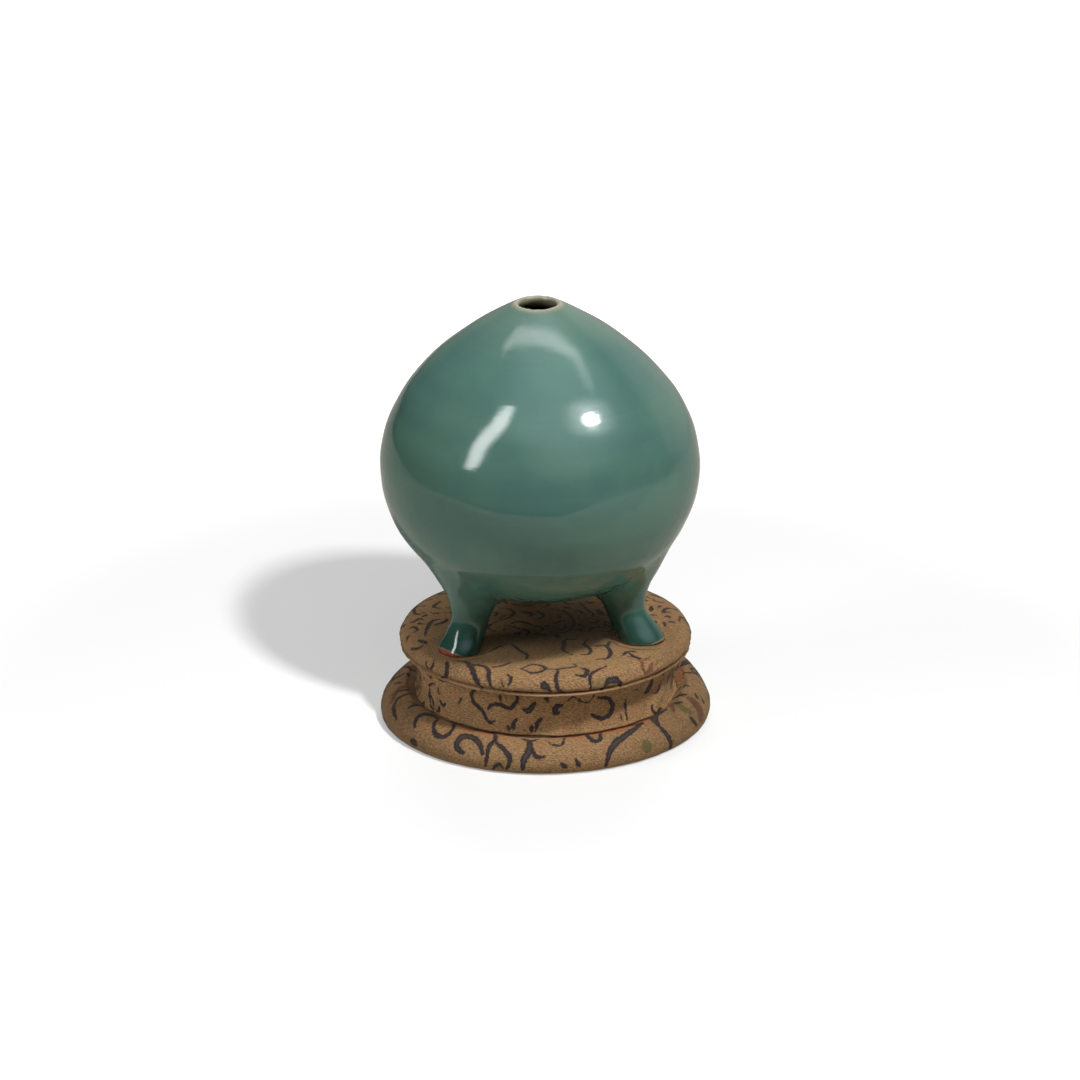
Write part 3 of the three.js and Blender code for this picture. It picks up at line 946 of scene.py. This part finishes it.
def keeps_clear(stroke, taken):
    """Whether a curl keeps clear of what is drawn already, apart from the points where it starts."""
    fresh = stroke["points"][CURL_START:]
    gaps = ((fresh[:, None] - taken) ** 2).sum(2)
    return gaps.min() > CURL_CLEARANCE ** 2


def grown_vines(places, size, seed, strokes):
    """Adds an S-shaped scroll with a branch at each place, without the curls that have no room."""
    draw = np.random.default_rng(seed)
    for x, y in places:
        heading, side = draw.uniform(0, 360), draw.choice((-1, 1))
        reach = size * draw.uniform(0.8, 1.25)
        width = draw.uniform(0.7, 1.0)
        bend = side / reach
        scroll = [
            curl(x, y, heading, 2.0 * reach, 0, 150 * bend, width),
            curl(x, y, heading + 180, 1.5 * reach, 0, 170 * bend, width),
            curl(x, y, heading + 50 * side, 1.1 * reach, -20 * bend, -190 * bend, 0.85 * width),
        ]
        taken = np.concatenate([stroke["points"] for stroke in strokes])
        strokes += [stroke for stroke in scroll if keeps_clear(stroke, taken)]
    return strokes


def scattered(low, high, apart, seed, keep):
    """Points about evenly apart in a box, in random order."""
    draw = np.random.default_rng(seed)
    found = np.empty((0, 2))
    for spot in draw.uniform(low, high, (SCROLL_TRIES, 2)):
        if keep(spot) and (not len(found) or ((found - spot) ** 2).sum(1).min() > apart * apart):
            found = np.vstack([found, spot])
    return found


def filled_up(strokes, low, high, keep, seed):
    """Fills the part of the cloth that keep holds to with scrolls, large ones first."""
    for round_number, (apart, size) in enumerate(SCROLL_ROUNDS):
        places = scattered(low, high, apart, seed + round_number, keep)
        strokes = grown_vines(places, size, seed + 10 + round_number, strokes)
    return strokes


def vines_of_top():
    def hidden(place):
        return np.hypot(*place) < 44 and place[1] > -9 + 0.25 * abs(place[0])
    return filled_up(drawn(TOP_VINES), -44, 44, hidden, 11)


def vines_of_waist():
    half = math.pi * WAIST_RADIUS
    strokes = filled_up(drawn(WAIST_VINES), (-half, -1), (half, 14), lambda p: not -30 < p[0] < 34, 21)
    across = ({**s, "points": s["points"] + (d * 2 * half, 0)} for s in strokes for d in (-1, 1))
    return strokes + list(across)


def vines_of_base():
    return filled_up(drawn(BASE_VINES), -50, 50, lambda p: 28 < np.hypot(*p) < 50 and p[1] > 6, 31)


def painted_shading(name, places):
    """Painted shading of the cloth at its places: painted shade on the top's middle under the pot, on the
    top's right and on the base's sides, and painted light that brightens the waist.
    """
    away = np.hypot(places[:, 0], places[:, 1])
    if name == "top_brocade":
        return 0.6 + 0.4 * smoothstep(12, 27, away) - 0.2 * smoothstep(24, 32, places[:, 0])
    if name == "waist_brocade":
        return np.full(len(places), 1.25)
    aside = np.abs(np.arctan2(places[:, 0], -places[:, 1]))
    return 0.93 - 0.25 * smoothstep(0.35, 1.1, aside)


def add_uv(made, name, places):
    """A UV map that gives each point of the mesh its place."""
    corners = np.empty(len(made.data.loops), int)
    made.data.loops.foreach_get("vertex_index", corners)
    layer = made.data.uv_layers.new(name=name)
    layer.data.foreach_set("uv", np.asarray(places, float)[corners].ravel())


# Materials

WHITE = (1, 1, 1, 1)

# The sockets of a Mix node's two colours, and of its two numbers
MIX_COLOURS = (6, 7)
MIX_NUMBERS = (2, 3)


def feed(tree, made, inputs):
    """Links a node's inputs to sockets, and sets those that are given values."""
    for key, value in inputs.items():
        if isinstance(value, bpy.types.NodeSocket):
            tree.links.new(value, made.inputs[key])
        else:
            made.inputs[key].default_value = value


def node(tree, kind, inputs=None, **settings):
    made = tree.nodes.new(kind)
    for key, value in settings.items():
        setattr(made, key, value)
    feed(tree, made, inputs or {})
    return made


def coordinates(tree, name):
    return node(tree, "ShaderNodeTexCoord").outputs[name]


def maths(tree, operation, a, b):
    return node(tree, "ShaderNodeMath", {0: a, 1: b}, operation=operation).outputs[0]


def summed(tree, *parts):
    """The sum of some values, each times its share."""
    added = [maths(tree, "MULTIPLY", value, share) for value, share in parts]
    so_far = added[0]
    for part in added[1:]:
        so_far = maths(tree, "ADD", so_far, part)
    return so_far


def between(tree, value, low, high, to_low=0.0, to_high=1.0, smooth=True):
    made = node(
        tree, "ShaderNodeMapRange",
        {"Value": value, "From Min": low, "From Max": high, "To Min": to_low, "To Max": to_high},
        interpolation_type="SMOOTHSTEP" if smooth else "LINEAR",
    )
    return made.outputs["Result"]


def spread(tree, value, reach):
    """A value of 0 to 1 as one of -reach to reach."""
    return between(tree, value, 0, 1, -reach, reach, smooth=False)


def length_of(tree, place):
    return node(tree, "ShaderNodeVectorMath", {0: place}, operation="LENGTH").outputs["Value"]


def blended(tree, share, a, b):
    first, second = MIX_COLOURS
    inputs = {0: share, first: a, second: b}
    return node(tree, "ShaderNodeMix", inputs, data_type="RGBA", clamp_factor=True).outputs[2]


def two_tone(tree, value, low, high, a, b):
    """One colour where the value is low, and another where it is high."""
    return blended(tree, between(tree, value, low, high), a, b)


def layered(tree, colour, *layers):
    """Lays colours over the first. Each follows a value: its low and high ends, and the shares there."""
    for value, low, high, low_share, high_share, over in layers:
        colour = blended(tree, between(tree, value, low, high, low_share, high_share), colour, over)
    return colour


def noise(tree, place, scale, detail=2.0, roughness=0.5, stretch=(1, 1, 1)):
    moved = node(tree, "ShaderNodeMapping", {"Vector": place, "Scale": stretch}, vector_type="POINT")
    inputs = {"Vector": moved.outputs[0], "Scale": scale, "Detail": detail, "Roughness": roughness}
    return node(tree, "ShaderNodeTexNoise", inputs).outputs[0]


def add_bump(tree, shader, height, strength, distance):
    bump = node(tree, "ShaderNodeBump", {"Height": height, "Strength": strength, "Distance": distance})
    feed(tree, shader, {"Normal": bump.outputs[0]})


def attribute(tree, name):
    return node(tree, "ShaderNodeAttribute", attribute_name=name).outputs["Fac"]


def srgb(red, green, blue):
    """A colour given as 8-bit screen values, for a shader's socket."""
    channels = [c / 255 for c in (red, green, blue)]
    return (*(c / 12.92 if c <= 0.04045 else ((c + 0.055) / 1.055) ** 2.4 for c in channels), 1.0)


def new_material(name):
    made = bpy.data.materials.new(name)
    made.use_nodes = True
    tree = made.node_tree
    return made, tree, tree.nodes["Principled BSDF"]


def put_on(made, material):
    made.data.materials.clear()
    made.data.materials.append(material)


def glaze_colour(tree, place, rings, specks):
    """Celadon with faint clouds, rings and specks, darker low on the legs, partly as the glaze pools there
    and partly as painted shade on the feet, and paler near the lip.
    """
    height = node(tree, "ShaderNodeSeparateXYZ", {0: place}).outputs["Z"]
    foot = SOLE_HEIGHT * MM
    return layered(
        tree,
        srgb(90, 128, 115),
        (noise(tree, place, 60, 3), 0.35, 0.65, 0, 1, srgb(83, 121, 113)),
        (rings, 0.45, 0.8, 0, 0.22, srgb(100, 137, 121)),
        (specks, 0.68, 0.8, 0, 0.3, srgb(60, 90, 84)),
        # Darker low on the legs: partly glaze pooling there, partly painted shade of the feet
        (height, foot + 0.003, foot + 0.018, 0.85, 0, srgb(42, 78, 68)),
        (attribute(tree, "from_lip"), 2, 20, 0.4, 0, srgb(126, 147, 134)),
    )


def with_mouth(tree, place, colour):
    """Painted shade that darkens the neck deeper into the mouth, and the pale edge of the lip."""
    from_lip = attribute(tree, "from_lip")
    inside = attribute(tree, "inside")
    # Painted shade: the neck's colour goes from olive-grey to near-black deeper into the mouth
    neck = two_tone(tree, from_lip, 1.6, 4.0, srgb(146, 140, 114), srgb(30, 27, 18))
    wobble = spread(tree, noise(tree, place, 400, 2), 0.35)
    from_edge = summed(tree, (from_lip, 1), (wobble, 1), (inside, 0.6))
    colour = blended(tree, inside, colour, neck)
    return layered(tree, colour, (from_edge, 0.3, 1.7, 1, 0, srgb(180, 186, 178)))


def with_bare_clay(tree, place, colour):
    """The thin glaze and the bare clay of the toes, and where that clay is bare."""
    uneven = between(tree, noise(tree, place, 900, 2), 0, 1, -0.25, 0.25)
    edge = maths(tree, "ADD", attribute(tree, "bare"), uneven)
    bare = between(tree, edge, -0.05, 0.1)
    clay = two_tone(tree, noise(tree, place, 1500, 3), 0.3, 0.7, srgb(160, 74, 48), srgb(120, 48, 34))
    colour = layered(tree, colour, (edge, -0.55, -0.05, 0, 0.55, srgb(164, 160, 130)))
    return blended(tree, bare, colour, clay), bare


def glaze_material():
    made, tree, shader = new_material("celadon_glaze")
    place = coordinates(tree, "Object")
    rings = noise(tree, place, 150, 3, stretch=(0.1, 0.1, 3.0))
    specks = noise(tree, place, 900, 2, 0.6)
    colour = with_mouth(tree, place, glaze_colour(tree, place, rings, specks))
    colour, bare = with_bare_clay(tree, place, colour)
    gloss = between(tree, noise(tree, place, 350, 3), 0.3, 0.8, 0.07, 0.14)
    roughness = summed(tree, (gloss, 1), (bare, 0.6))
    feed(tree, shader, {"Base Color": colour, "Roughness": roughness, "IOR": 1.5})
    pits = between(tree, specks, 0.7, 0.85, 0, -1)
    scratches = noise(tree, place, 1500, 2, stretch=(0.06, 0.06, 1.0))
    relief = summed(tree, (rings, 0.4), (pits, 0.25), (scratches, 0.3))
    add_bump(tree, shader, relief, 0.12, 0.0003)
    return made


def white_cells(tree, place, size):
    """A random value for each little square of cloth, as a weave's stitches catch the light unevenly."""
    squares = node(tree, "ShaderNodeVectorMath", {0: place, 1: (size, size, size)}, operation="SNAP")
    inputs = {"Vector": squares.outputs[0]}
    return node(tree, "ShaderNodeTexWhiteNoise", inputs, noise_dimensions="2D").outputs[0]


def woven_gold(tree, uv, grain, cross):
    """The gold ground: its grain, its uneven stitches, and its redder and greener patches."""
    stitch = white_cells(tree, uv, 0.3)
    patchy = noise(tree, uv, 0.28, 2)
    return layered(
        tree,
        srgb(108, 79, 48),
        (grain, 0.32, 0.68, 0, 1, srgb(182, 144, 102)),
        (cross, 0.55, 0.8, 0, 0.5, srgb(94, 66, 40)),
        (stitch, 0.6, 1.0, 0, 0.14, srgb(214, 178, 130)),
        (stitch, 0.0, 0.4, 0.14, 0, srgb(86, 60, 38)),
        (patchy, 0.5, 0.7, 0, 0.35, srgb(160, 106, 74)),
        (patchy, 0.3, 0.48, 0.45, 0, srgb(112, 96, 60)),
    )


def with_painted_light(tree, colour):
    """Painted light on the cloth: the painted highlight along the top's ridge, the painted shade in the
    creases and at grazing edges, and the painted shading of each cover.
    """
    ridge_highlight = maths(tree, "MULTIPLY", attribute(tree, "ridge_highlight"), 0.75)
    turned_away = node(tree, "ShaderNodeLayerWeight", {"Blend": 0.5}).outputs["Facing"]
    colour = blended(tree, ridge_highlight, colour, srgb(206, 162, 126))
    colour = blended(tree, attribute(tree, "crease_shade"), colour, srgb(52, 28, 20))
    # Painted shade: the cloth darkens towards its outline, where it turns away from the view
    colour = layered(tree, colour, (turned_away, 0.72, 0.96, 0, 0.9, srgb(34, 24, 17)))
    inputs = {"Color": colour, "Value": attribute(tree, "painted_shading")}
    return node(tree, "ShaderNodeHueSaturation", inputs).outputs[0]


def brocade_material():
    made, tree, shader = new_material("brocade")
    uv = node(tree, "ShaderNodeUVMap", uv_map="cloth").outputs[0]
    grain = noise(tree, uv, 1.4, 3, 0.7, stretch=(0.9, 2.3, 1))
    cross = noise(tree, uv, 1.5, 3, 0.7, stretch=(3.4, 1.0, 1))
    jagged = spread(tree, white_cells(tree, uv, 0.26), 0.12)
    wavy = spread(tree, noise(tree, uv, 0.9, 2), 0.35)
    uneven = maths(tree, "ADD", jagged, wavy)
    gold = woven_gold(tree, uv, grain, cross)
    for zone, low, high in DYES:
        from_petal = maths(tree, "ADD", attribute(tree, zone), uneven)
        dyed = two_tone(tree, grain, 0.3, 0.7, srgb(*low), srgb(*high))
        gold = layered(tree, gold, (from_petal, -0.4, 0.2, 0.75, 0, dyed))
    from_vine = maths(tree, "ADD", attribute(tree, "vine"), uneven)
    vine = between(tree, from_vine, -0.22, 0.1, 1, 0)
    ink = two_tone(tree, cross, 0.35, 0.7, srgb(20, 18, 26), srgb(48, 42, 48))
    ink = layered(tree, ink, (from_vine, -0.75, -0.5, 0.4, 0, srgb(86, 76, 72)))
    colour = blended(tree, maths(tree, "MULTIPLY", vine, 0.96), gold, ink)
    feed(tree, shader, {
        "Base Color": with_painted_light(tree, colour),
        "Roughness": 0.72,
        "Specular IOR Level": 0.3,
        "Sheen Weight": 0.15,
        "Sheen Roughness": 0.4,
        "Sheen Tint": srgb(232, 206, 160),
    })
    relief = summed(tree, (grain, 0.6), (cross, 0.5), (vine, 0.25))
    add_bump(tree, shader, relief, 0.4, 0.0003)
    return made


def plain_material(name, low, high, scale, stretch, roughness, relief):
    made, tree, shader = new_material(name)
    grain = noise(tree, coordinates(tree, "Object"), scale, 4, 0.6, stretch)
    colour = two_tone(tree, grain, 0.3, 0.7, srgb(*low), srgb(*high))
    feed(tree, shader, {"Base Color": colour, "Roughness": roughness})
    add_bump(tree, shader, grain, 0.5, relief)
    return made


# Hidden pads and the lining under the stand

def turned_piece(name, line, count):
    """A closed piece turned from a profile line, with a single point where it meets the axis."""
    points, _ = along_line(np.array(line, float), HIDDEN_SPACING)
    rings = []
    for radius, height in points:
        here = 1 if radius < MIDDLE_RADIUS else count
        azimuth = 2 * math.pi * np.arange(here) / here
        rings.append(polar(azimuth, np.full(here, radius), np.full(here, height)))
    return make_object(name, *stack_rings(rings))


def pad(name, node_name):
    """A pad that all but fills its node's box, with a rounded edge."""
    radius, foot, head = layer_size(node_name)
    radius -= PAD_INSET
    crown = rounded_line([
        (0, head - 0.05), (radius * 0.6, head - 0.05), (radius * 0.88, head - 0.12),
        (radius * 0.975, (foot + head) / 2), (radius * 0.93, foot + 0.12), (radius * 0.6, foot + 0.05),
        (0, foot + 0.05),
    ])
    made = turned_piece(name, crown, count=96)
    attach(made, "stand")
    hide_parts(node_name)
    return made


def lining():
    radius, foot, head = layer_size("base_lining")
    made = turned_piece("lining_cloth", [
        (0, head), (radius - 0.2, head), (radius, head - 0.12), (radius - 0.15, foot), (0, foot),
    ], count=180)
    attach(made, "stand")
    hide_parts("base_lining")
    return made


# The studio

def towards(azimuth, elevation):
    """The way from the middle to something at an azimuth and an elevation in degrees."""
    turn, rise = math.radians(azimuth), math.radians(elevation)
    return Vector((math.sin(turn) * math.cos(rise), -math.cos(turn) * math.cos(rise), math.sin(rise)))


CAMERA_ELEVATION = 21
CAMERA_DISTANCE = 1.5
CAMERA_AIM = Vector((-1.4, 0, 46.2)) * MM
CAMERA_LENS = 201.2
CAMERA_SENSOR = 36
CAMERA_REACH = 20
CAMERA_PLACE = CAMERA_AIM + CAMERA_DISTANCE * towards(0, CAMERA_ELEVATION)

# The corners of the pale sheet under the stand. The pot mirrors its front edge
FLOOR_CORNERS = ((-560, -275), (60, -265), (900, -1050), (1500, -700), (500, 80), (520, 800), (-600, 800))
FLOOR_PALE = (0.5, 0.5, 0.5, 1)
FLOOR_UNDER_LIGHT = (0.4, 0.375, 0.33, 1)

# How strongly the sheet glows near the stand, and the distances in metres between which that grows to 1
FLOOR_LIFT = 0.36
FLOOR_LIFT_RUN = (0.13, 0.3)

# The level of the empty ground that the camera sees, and of the faint light that comes from all round
SKY_LEVEL = 1.2
AMBIENT = 0.015

# The brightest part of the room that the glaze mirrors: its direction, its spread, its level and its tint
ROOM_FRONT = (0.3, -0.36, 0.88)
ROOM_SPREAD = (0.62, 0.97)
ROOM_LEVEL = 1.4
ROOM_TINT = (0.72, 0.93, 1.0, 1)

# Each lamp on the object: azimuth, elevation, distance, size and power
KEY = (55, 61, 1.3, (0.12, 0.12), 12.5)
FILLS = {
    "front_top": (0, 55, 1.2, (0.6, 0.5), 1.6),
    "left": (-70, 30, 1.2, (0.4, 0.5), 3.6),
    "front": (10, 25, 1.2, (0.4, 0.4), 0.5),
    "back": (180, 50, 1.2, (0.6, 0.5), 4.3),
}
# The lamp that casts the shadow on the sheet
SHEET_LAMP = (29.5, 47.5, 1.3, (0.09, 0.09), 20)

# Softboxes, given by where the pot mirrors them: azimuths in degrees and heights in millimetres. A band has
# two edges, and a disc a middle and its reach round and up the pot. Then follow the level, and where it
# starts to fade, from 0 in the middle to 1 at the edge
BANDS = {
    "streak": (
        ((-31.5, 54.2), (-28, 59), (-25, 63), (-21.5, 65.5), (-16.5, 68)),
        ((-23, 54.2), (-17.5, 59.5), (-14.5, 62.5), (-11.5, 65), (-8, 67.5)),
        13, 0.3,
    ),
    "arch": (
        ((-29, 76), (-35.5, 79.5), (-33, 82), (-7, 83), (25, 82), (36.5, 79.5), (37, 75.5), (30, 69.5)),
        ((-28, 75), (-20, 77), (-9, 78), (2, 78), (12, 77), (18.5, 75), (23, 72), (25, 69.2)),
        4.5, 0.05,
    ),
}
BAND_DISTANCE = 800
BAND_STEPS = 14
BAND_END = 0.8
DISCS = {
    "spot": (24.1, 65.5, (5.2, 0.9), 90, 0.3),
    "halo": (23.6, 65.9, (15, 4.8), 6.5, 0),
}
DISC_DISTANCE = 1000
DISC_SIDES = 32

# The panel behind on the right: its corners, their places in its glow, and its level, fade and tint
BACKDROP = ((-700, 850, -350), (1900, 450, -350), (1900, 450, 1000), (-700, 850, 1000))
BACKDROP_PLACES = ((-1, -1), (1, -1), (1, 1), (-1, 1))
BACKDROP_GLOW = (0.5, 0.3, (1.0, 0.93, 0.8, 1))


def make_camera():
    data = bpy.data.cameras.new("camera")
    data.lens = CAMERA_LENS
    data.sensor_width = CAMERA_SENSOR
    data.clip_end = CAMERA_REACH
    camera = bpy.data.objects.new("camera", data)
    camera.location = CAMERA_PLACE
    camera.rotation_euler = (math.radians(90 - CAMERA_ELEVATION), 0, 0)
    bpy.context.scene.collection.objects.link(camera)
    bpy.context.scene.camera = camera


def area_light(name, azimuth, elevation, distance, size, power):
    """A soft lamp that lights the object but isn't mirrored in it."""
    data = bpy.data.lights.new(name, "AREA")
    data.shape = "RECTANGLE"
    data.size, data.size_y = size
    data.energy = power
    light = bpy.data.objects.new(name, data)
    way = towards(azimuth, elevation)
    light.location = way * distance
    light.rotation_euler = way.to_track_quat("Z", "Y").to_euler()
    light.visible_glossy = False
    bpy.context.scene.collection.objects.link(light)
    return light


def light_only(light, thing, state):
    """Lets a lamp light nothing but one thing, or everything but it."""
    lit = bpy.data.collections.new(light.name + "_lights")
    lit.objects.link(thing)
    light.light_linking.receiver_collection = lit
    lit.collection_objects[0].light_linking.link_state = state


def mirrored(azimuth, height, distance):
    """Where something must stand to be seen mirrored at a place on the pot's outside, in millimetres."""
    turn = math.radians(azimuth)
    outline = outer_outline()
    at = np.argmin(np.abs(outline[:, 1] - height))
    normal = polar(turn, *normals_along(outline)[at])
    place = POT_FOOT + polar(turn, outline[at, 0], height)
    sight = place - np.array(CAMERA_PLACE) / MM
    sight /= np.linalg.norm(sight)
    away = sight - 2 * (sight @ normal) * normal
    return place + distance * away


def glow_material(name, level, soft_from, colour=WHITE):
    """A glow on clear ground, that fades to nothing where the UV map's places are 1 away from its middle."""
    made, tree, _ = new_material(name)
    tree.nodes.clear()
    away = length_of(tree, coordinates(tree, "UV"))
    strength = between(tree, away, soft_from, 1, level, 0)
    glow = node(tree, "ShaderNodeEmission", {"Color": colour, "Strength": strength})
    clear = node(tree, "ShaderNodeBsdfTransparent")
    both = node(tree, "ShaderNodeAddShader", {0: glow.outputs[0], 1: clear.outputs[0]})
    node(tree, "ShaderNodeOutputMaterial", {"Surface": both.outputs[0]})
    return made


def reflector(name, points, faces, places, *glow):
    """A glowing thing that only the glossy glaze sees, with each point's place in its glow."""
    made = make_object(name, points, faces)
    add_uv(made, "glow", places)
    put_on(made, glow_material(name, *glow))
    made.visible_camera = False
    made.visible_diffuse = False
    made.visible_shadow = False
    made.visible_transmission = False


def reflected_band(name, left, right, level, soft_from):
    """A softbox whose mirror image on the pot lies between two lines of (azimuth, height) places."""
    points = []
    for side in (left, right):
        line, _ = along_line(rounded_line(side), 1)
        share = np.linspace(0, len(line) - 1, BAND_STEPS + 1).round().astype(int)
        points += [mirrored(*place, BAND_DISTANCE) for place in line[share]]
    row = BAND_STEPS + 1
    faces = [(i, i + 1, row + i + 1, row + i) for i in range(BAND_STEPS)]
    along = [(2 * step / BAND_STEPS - 1) ** 3 * BAND_END for step in range(row)]
    places = [(side, place) for side in (-1, 1) for place in along]
    reflector(name, points, faces, places, level, soft_from)


def reflected_disc(name, azimuth, height, reach, level, soft_from):
    """A round lamp whose mirror image on the pot is an oval."""
    angles = [2 * math.pi * k / DISC_SIDES for k in range(DISC_SIDES)]
    places = [(0, 0)] + [(math.cos(a), math.sin(a)) for a in angles]
    points = [mirrored(azimuth + reach[0] * u, height + reach[1] * v, DISC_DISTANCE) for u, v in places]
    faces = [(0, k + 1, (k + 1) % DISC_SIDES + 1) for k in range(DISC_SIDES)]
    reflector(name, points, faces, places, level, soft_from)


def make_floor():
    corners = [(*corner, 0) for corner in FLOOR_CORNERS]
    floor = make_object("floor", corners, [tuple(range(len(corners)))])
    made, tree, shader = new_material("pale_floor")
    path = node(tree, "ShaderNodeLightPath").outputs
    is_camera = path["Is Camera Ray"]
    away = length_of(tree, coordinates(tree, "Object"))
    lift = between(tree, away, *FLOOR_LIFT_RUN, FLOOR_LIFT, 1)
    feed(tree, shader, {
        "Base Color": blended(tree, is_camera, FLOOR_UNDER_LIGHT, FLOOR_PALE),
        "Roughness": 0.9,
        "Specular IOR Level": 0.0,
        "Emission Color": WHITE,
        "Emission Strength": summed(tree, (is_camera, lift), (path["Is Transmission Ray"], lift)),
    })
    put_on(floor, made)
    return floor


def make_world():
    world = bpy.data.worlds.new("studio")
    world.use_nodes = True
    bpy.context.scene.world = world
    tree = world.node_tree
    path = node(tree, "ShaderNodeLightPath").outputs
    is_glossy = path["Is Glossy Ray"]
    seen = between(tree, path["Is Camera Ray"], 0, 1, AMBIENT, SKY_LEVEL, smooth=False)
    inputs = {0: coordinates(tree, "Generated"), 1: ROOM_FRONT}
    to_front = node(tree, "ShaderNodeVectorMath", inputs, operation="DOT_PRODUCT").outputs["Value"]
    room = between(tree, to_front, *ROOM_SPREAD, 0, ROOM_LEVEL)
    first, second = MIX_NUMBERS
    level = node(tree, "ShaderNodeMix", {0: is_glossy, first: seen, second: room}, data_type="FLOAT")
    feed(tree, tree.nodes["Background"], {
        "Color": blended(tree, is_glossy, WHITE, ROOM_TINT),
        "Strength": level.outputs[0],
    })


def make_lights(floor):
    light_only(area_light("key", *KEY), floor, "EXCLUDE")
    light_only(area_light("sheet_lamp", *SHEET_LAMP), floor, "INCLUDE")
    for name, values in FILLS.items():
        area_light(name, *values)
    for name, values in BANDS.items():
        reflected_band(name, *values)
    for name, values in DISCS.items():
        reflected_disc(name, *values)
    reflector("backdrop", BACKDROP, [(0, 1, 2, 3)], BACKDROP_PLACES, *BACKDROP_GLOW)


make_camera()
make_world()
make_lights(make_floor())

pot = make_pot()
put_on(pot, glaze_material())

top, top_places = cover_of_top()
waist, waist_places = cover_of_waist()
base, base_places = cover_of_base()
covers = (
    (top, top_places, vines_of_top(), {"maroon": TOP_MAROON}),
    (waist, waist_places, vines_of_waist(), {}),
    (base, base_places, vines_of_base(), {"maroon": BASE_MAROON, "green": BASE_GREEN, "rust": BASE_RUST}),
)
brocade = brocade_material()
for cover, places, strokes, dyed in covers:
    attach(cover, "stand")
    add_uv(cover, "cloth", places)
    add_values(cover, "vine", stroke_field(places, strokes))
    # Painted shading: darker under the pot, on the top's right and on the base's sides, lighter on the waist
    add_values(cover, "painted_shading", painted_shading(cover.name, places))
    for zone, _, _ in DYES:
        add_values(cover, zone, stroke_field(places, drawn(dyed.get(zone, ()))))
    put_on(cover, brocade)

wadding = plain_material("wadding", (222, 214, 196), (238, 232, 218), 900, (1, 1, 1), 0.95, 0.0005)
for name, node_name in (("top_pad", "top_wadding"), ("base_pad", "base_wadding")):
    put_on(pad(name, node_name), wadding)
plain_cloth = plain_material("lining", (96, 74, 48), (120, 94, 62), 2500, (1, 0.3, 1), 0.9, 0.0002)
put_on(lining(), plain_cloth)
wood = plain_material("board", (160, 122, 78), (188, 150, 104), 220, (1, 0.08, 0.6), 0.7, 0.0002)
for name in ("base_board", "waist_block", "top_board"):
    put_on(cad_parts[name], wood)

bpy.context.scene.view_settings.view_transform = "Standard"
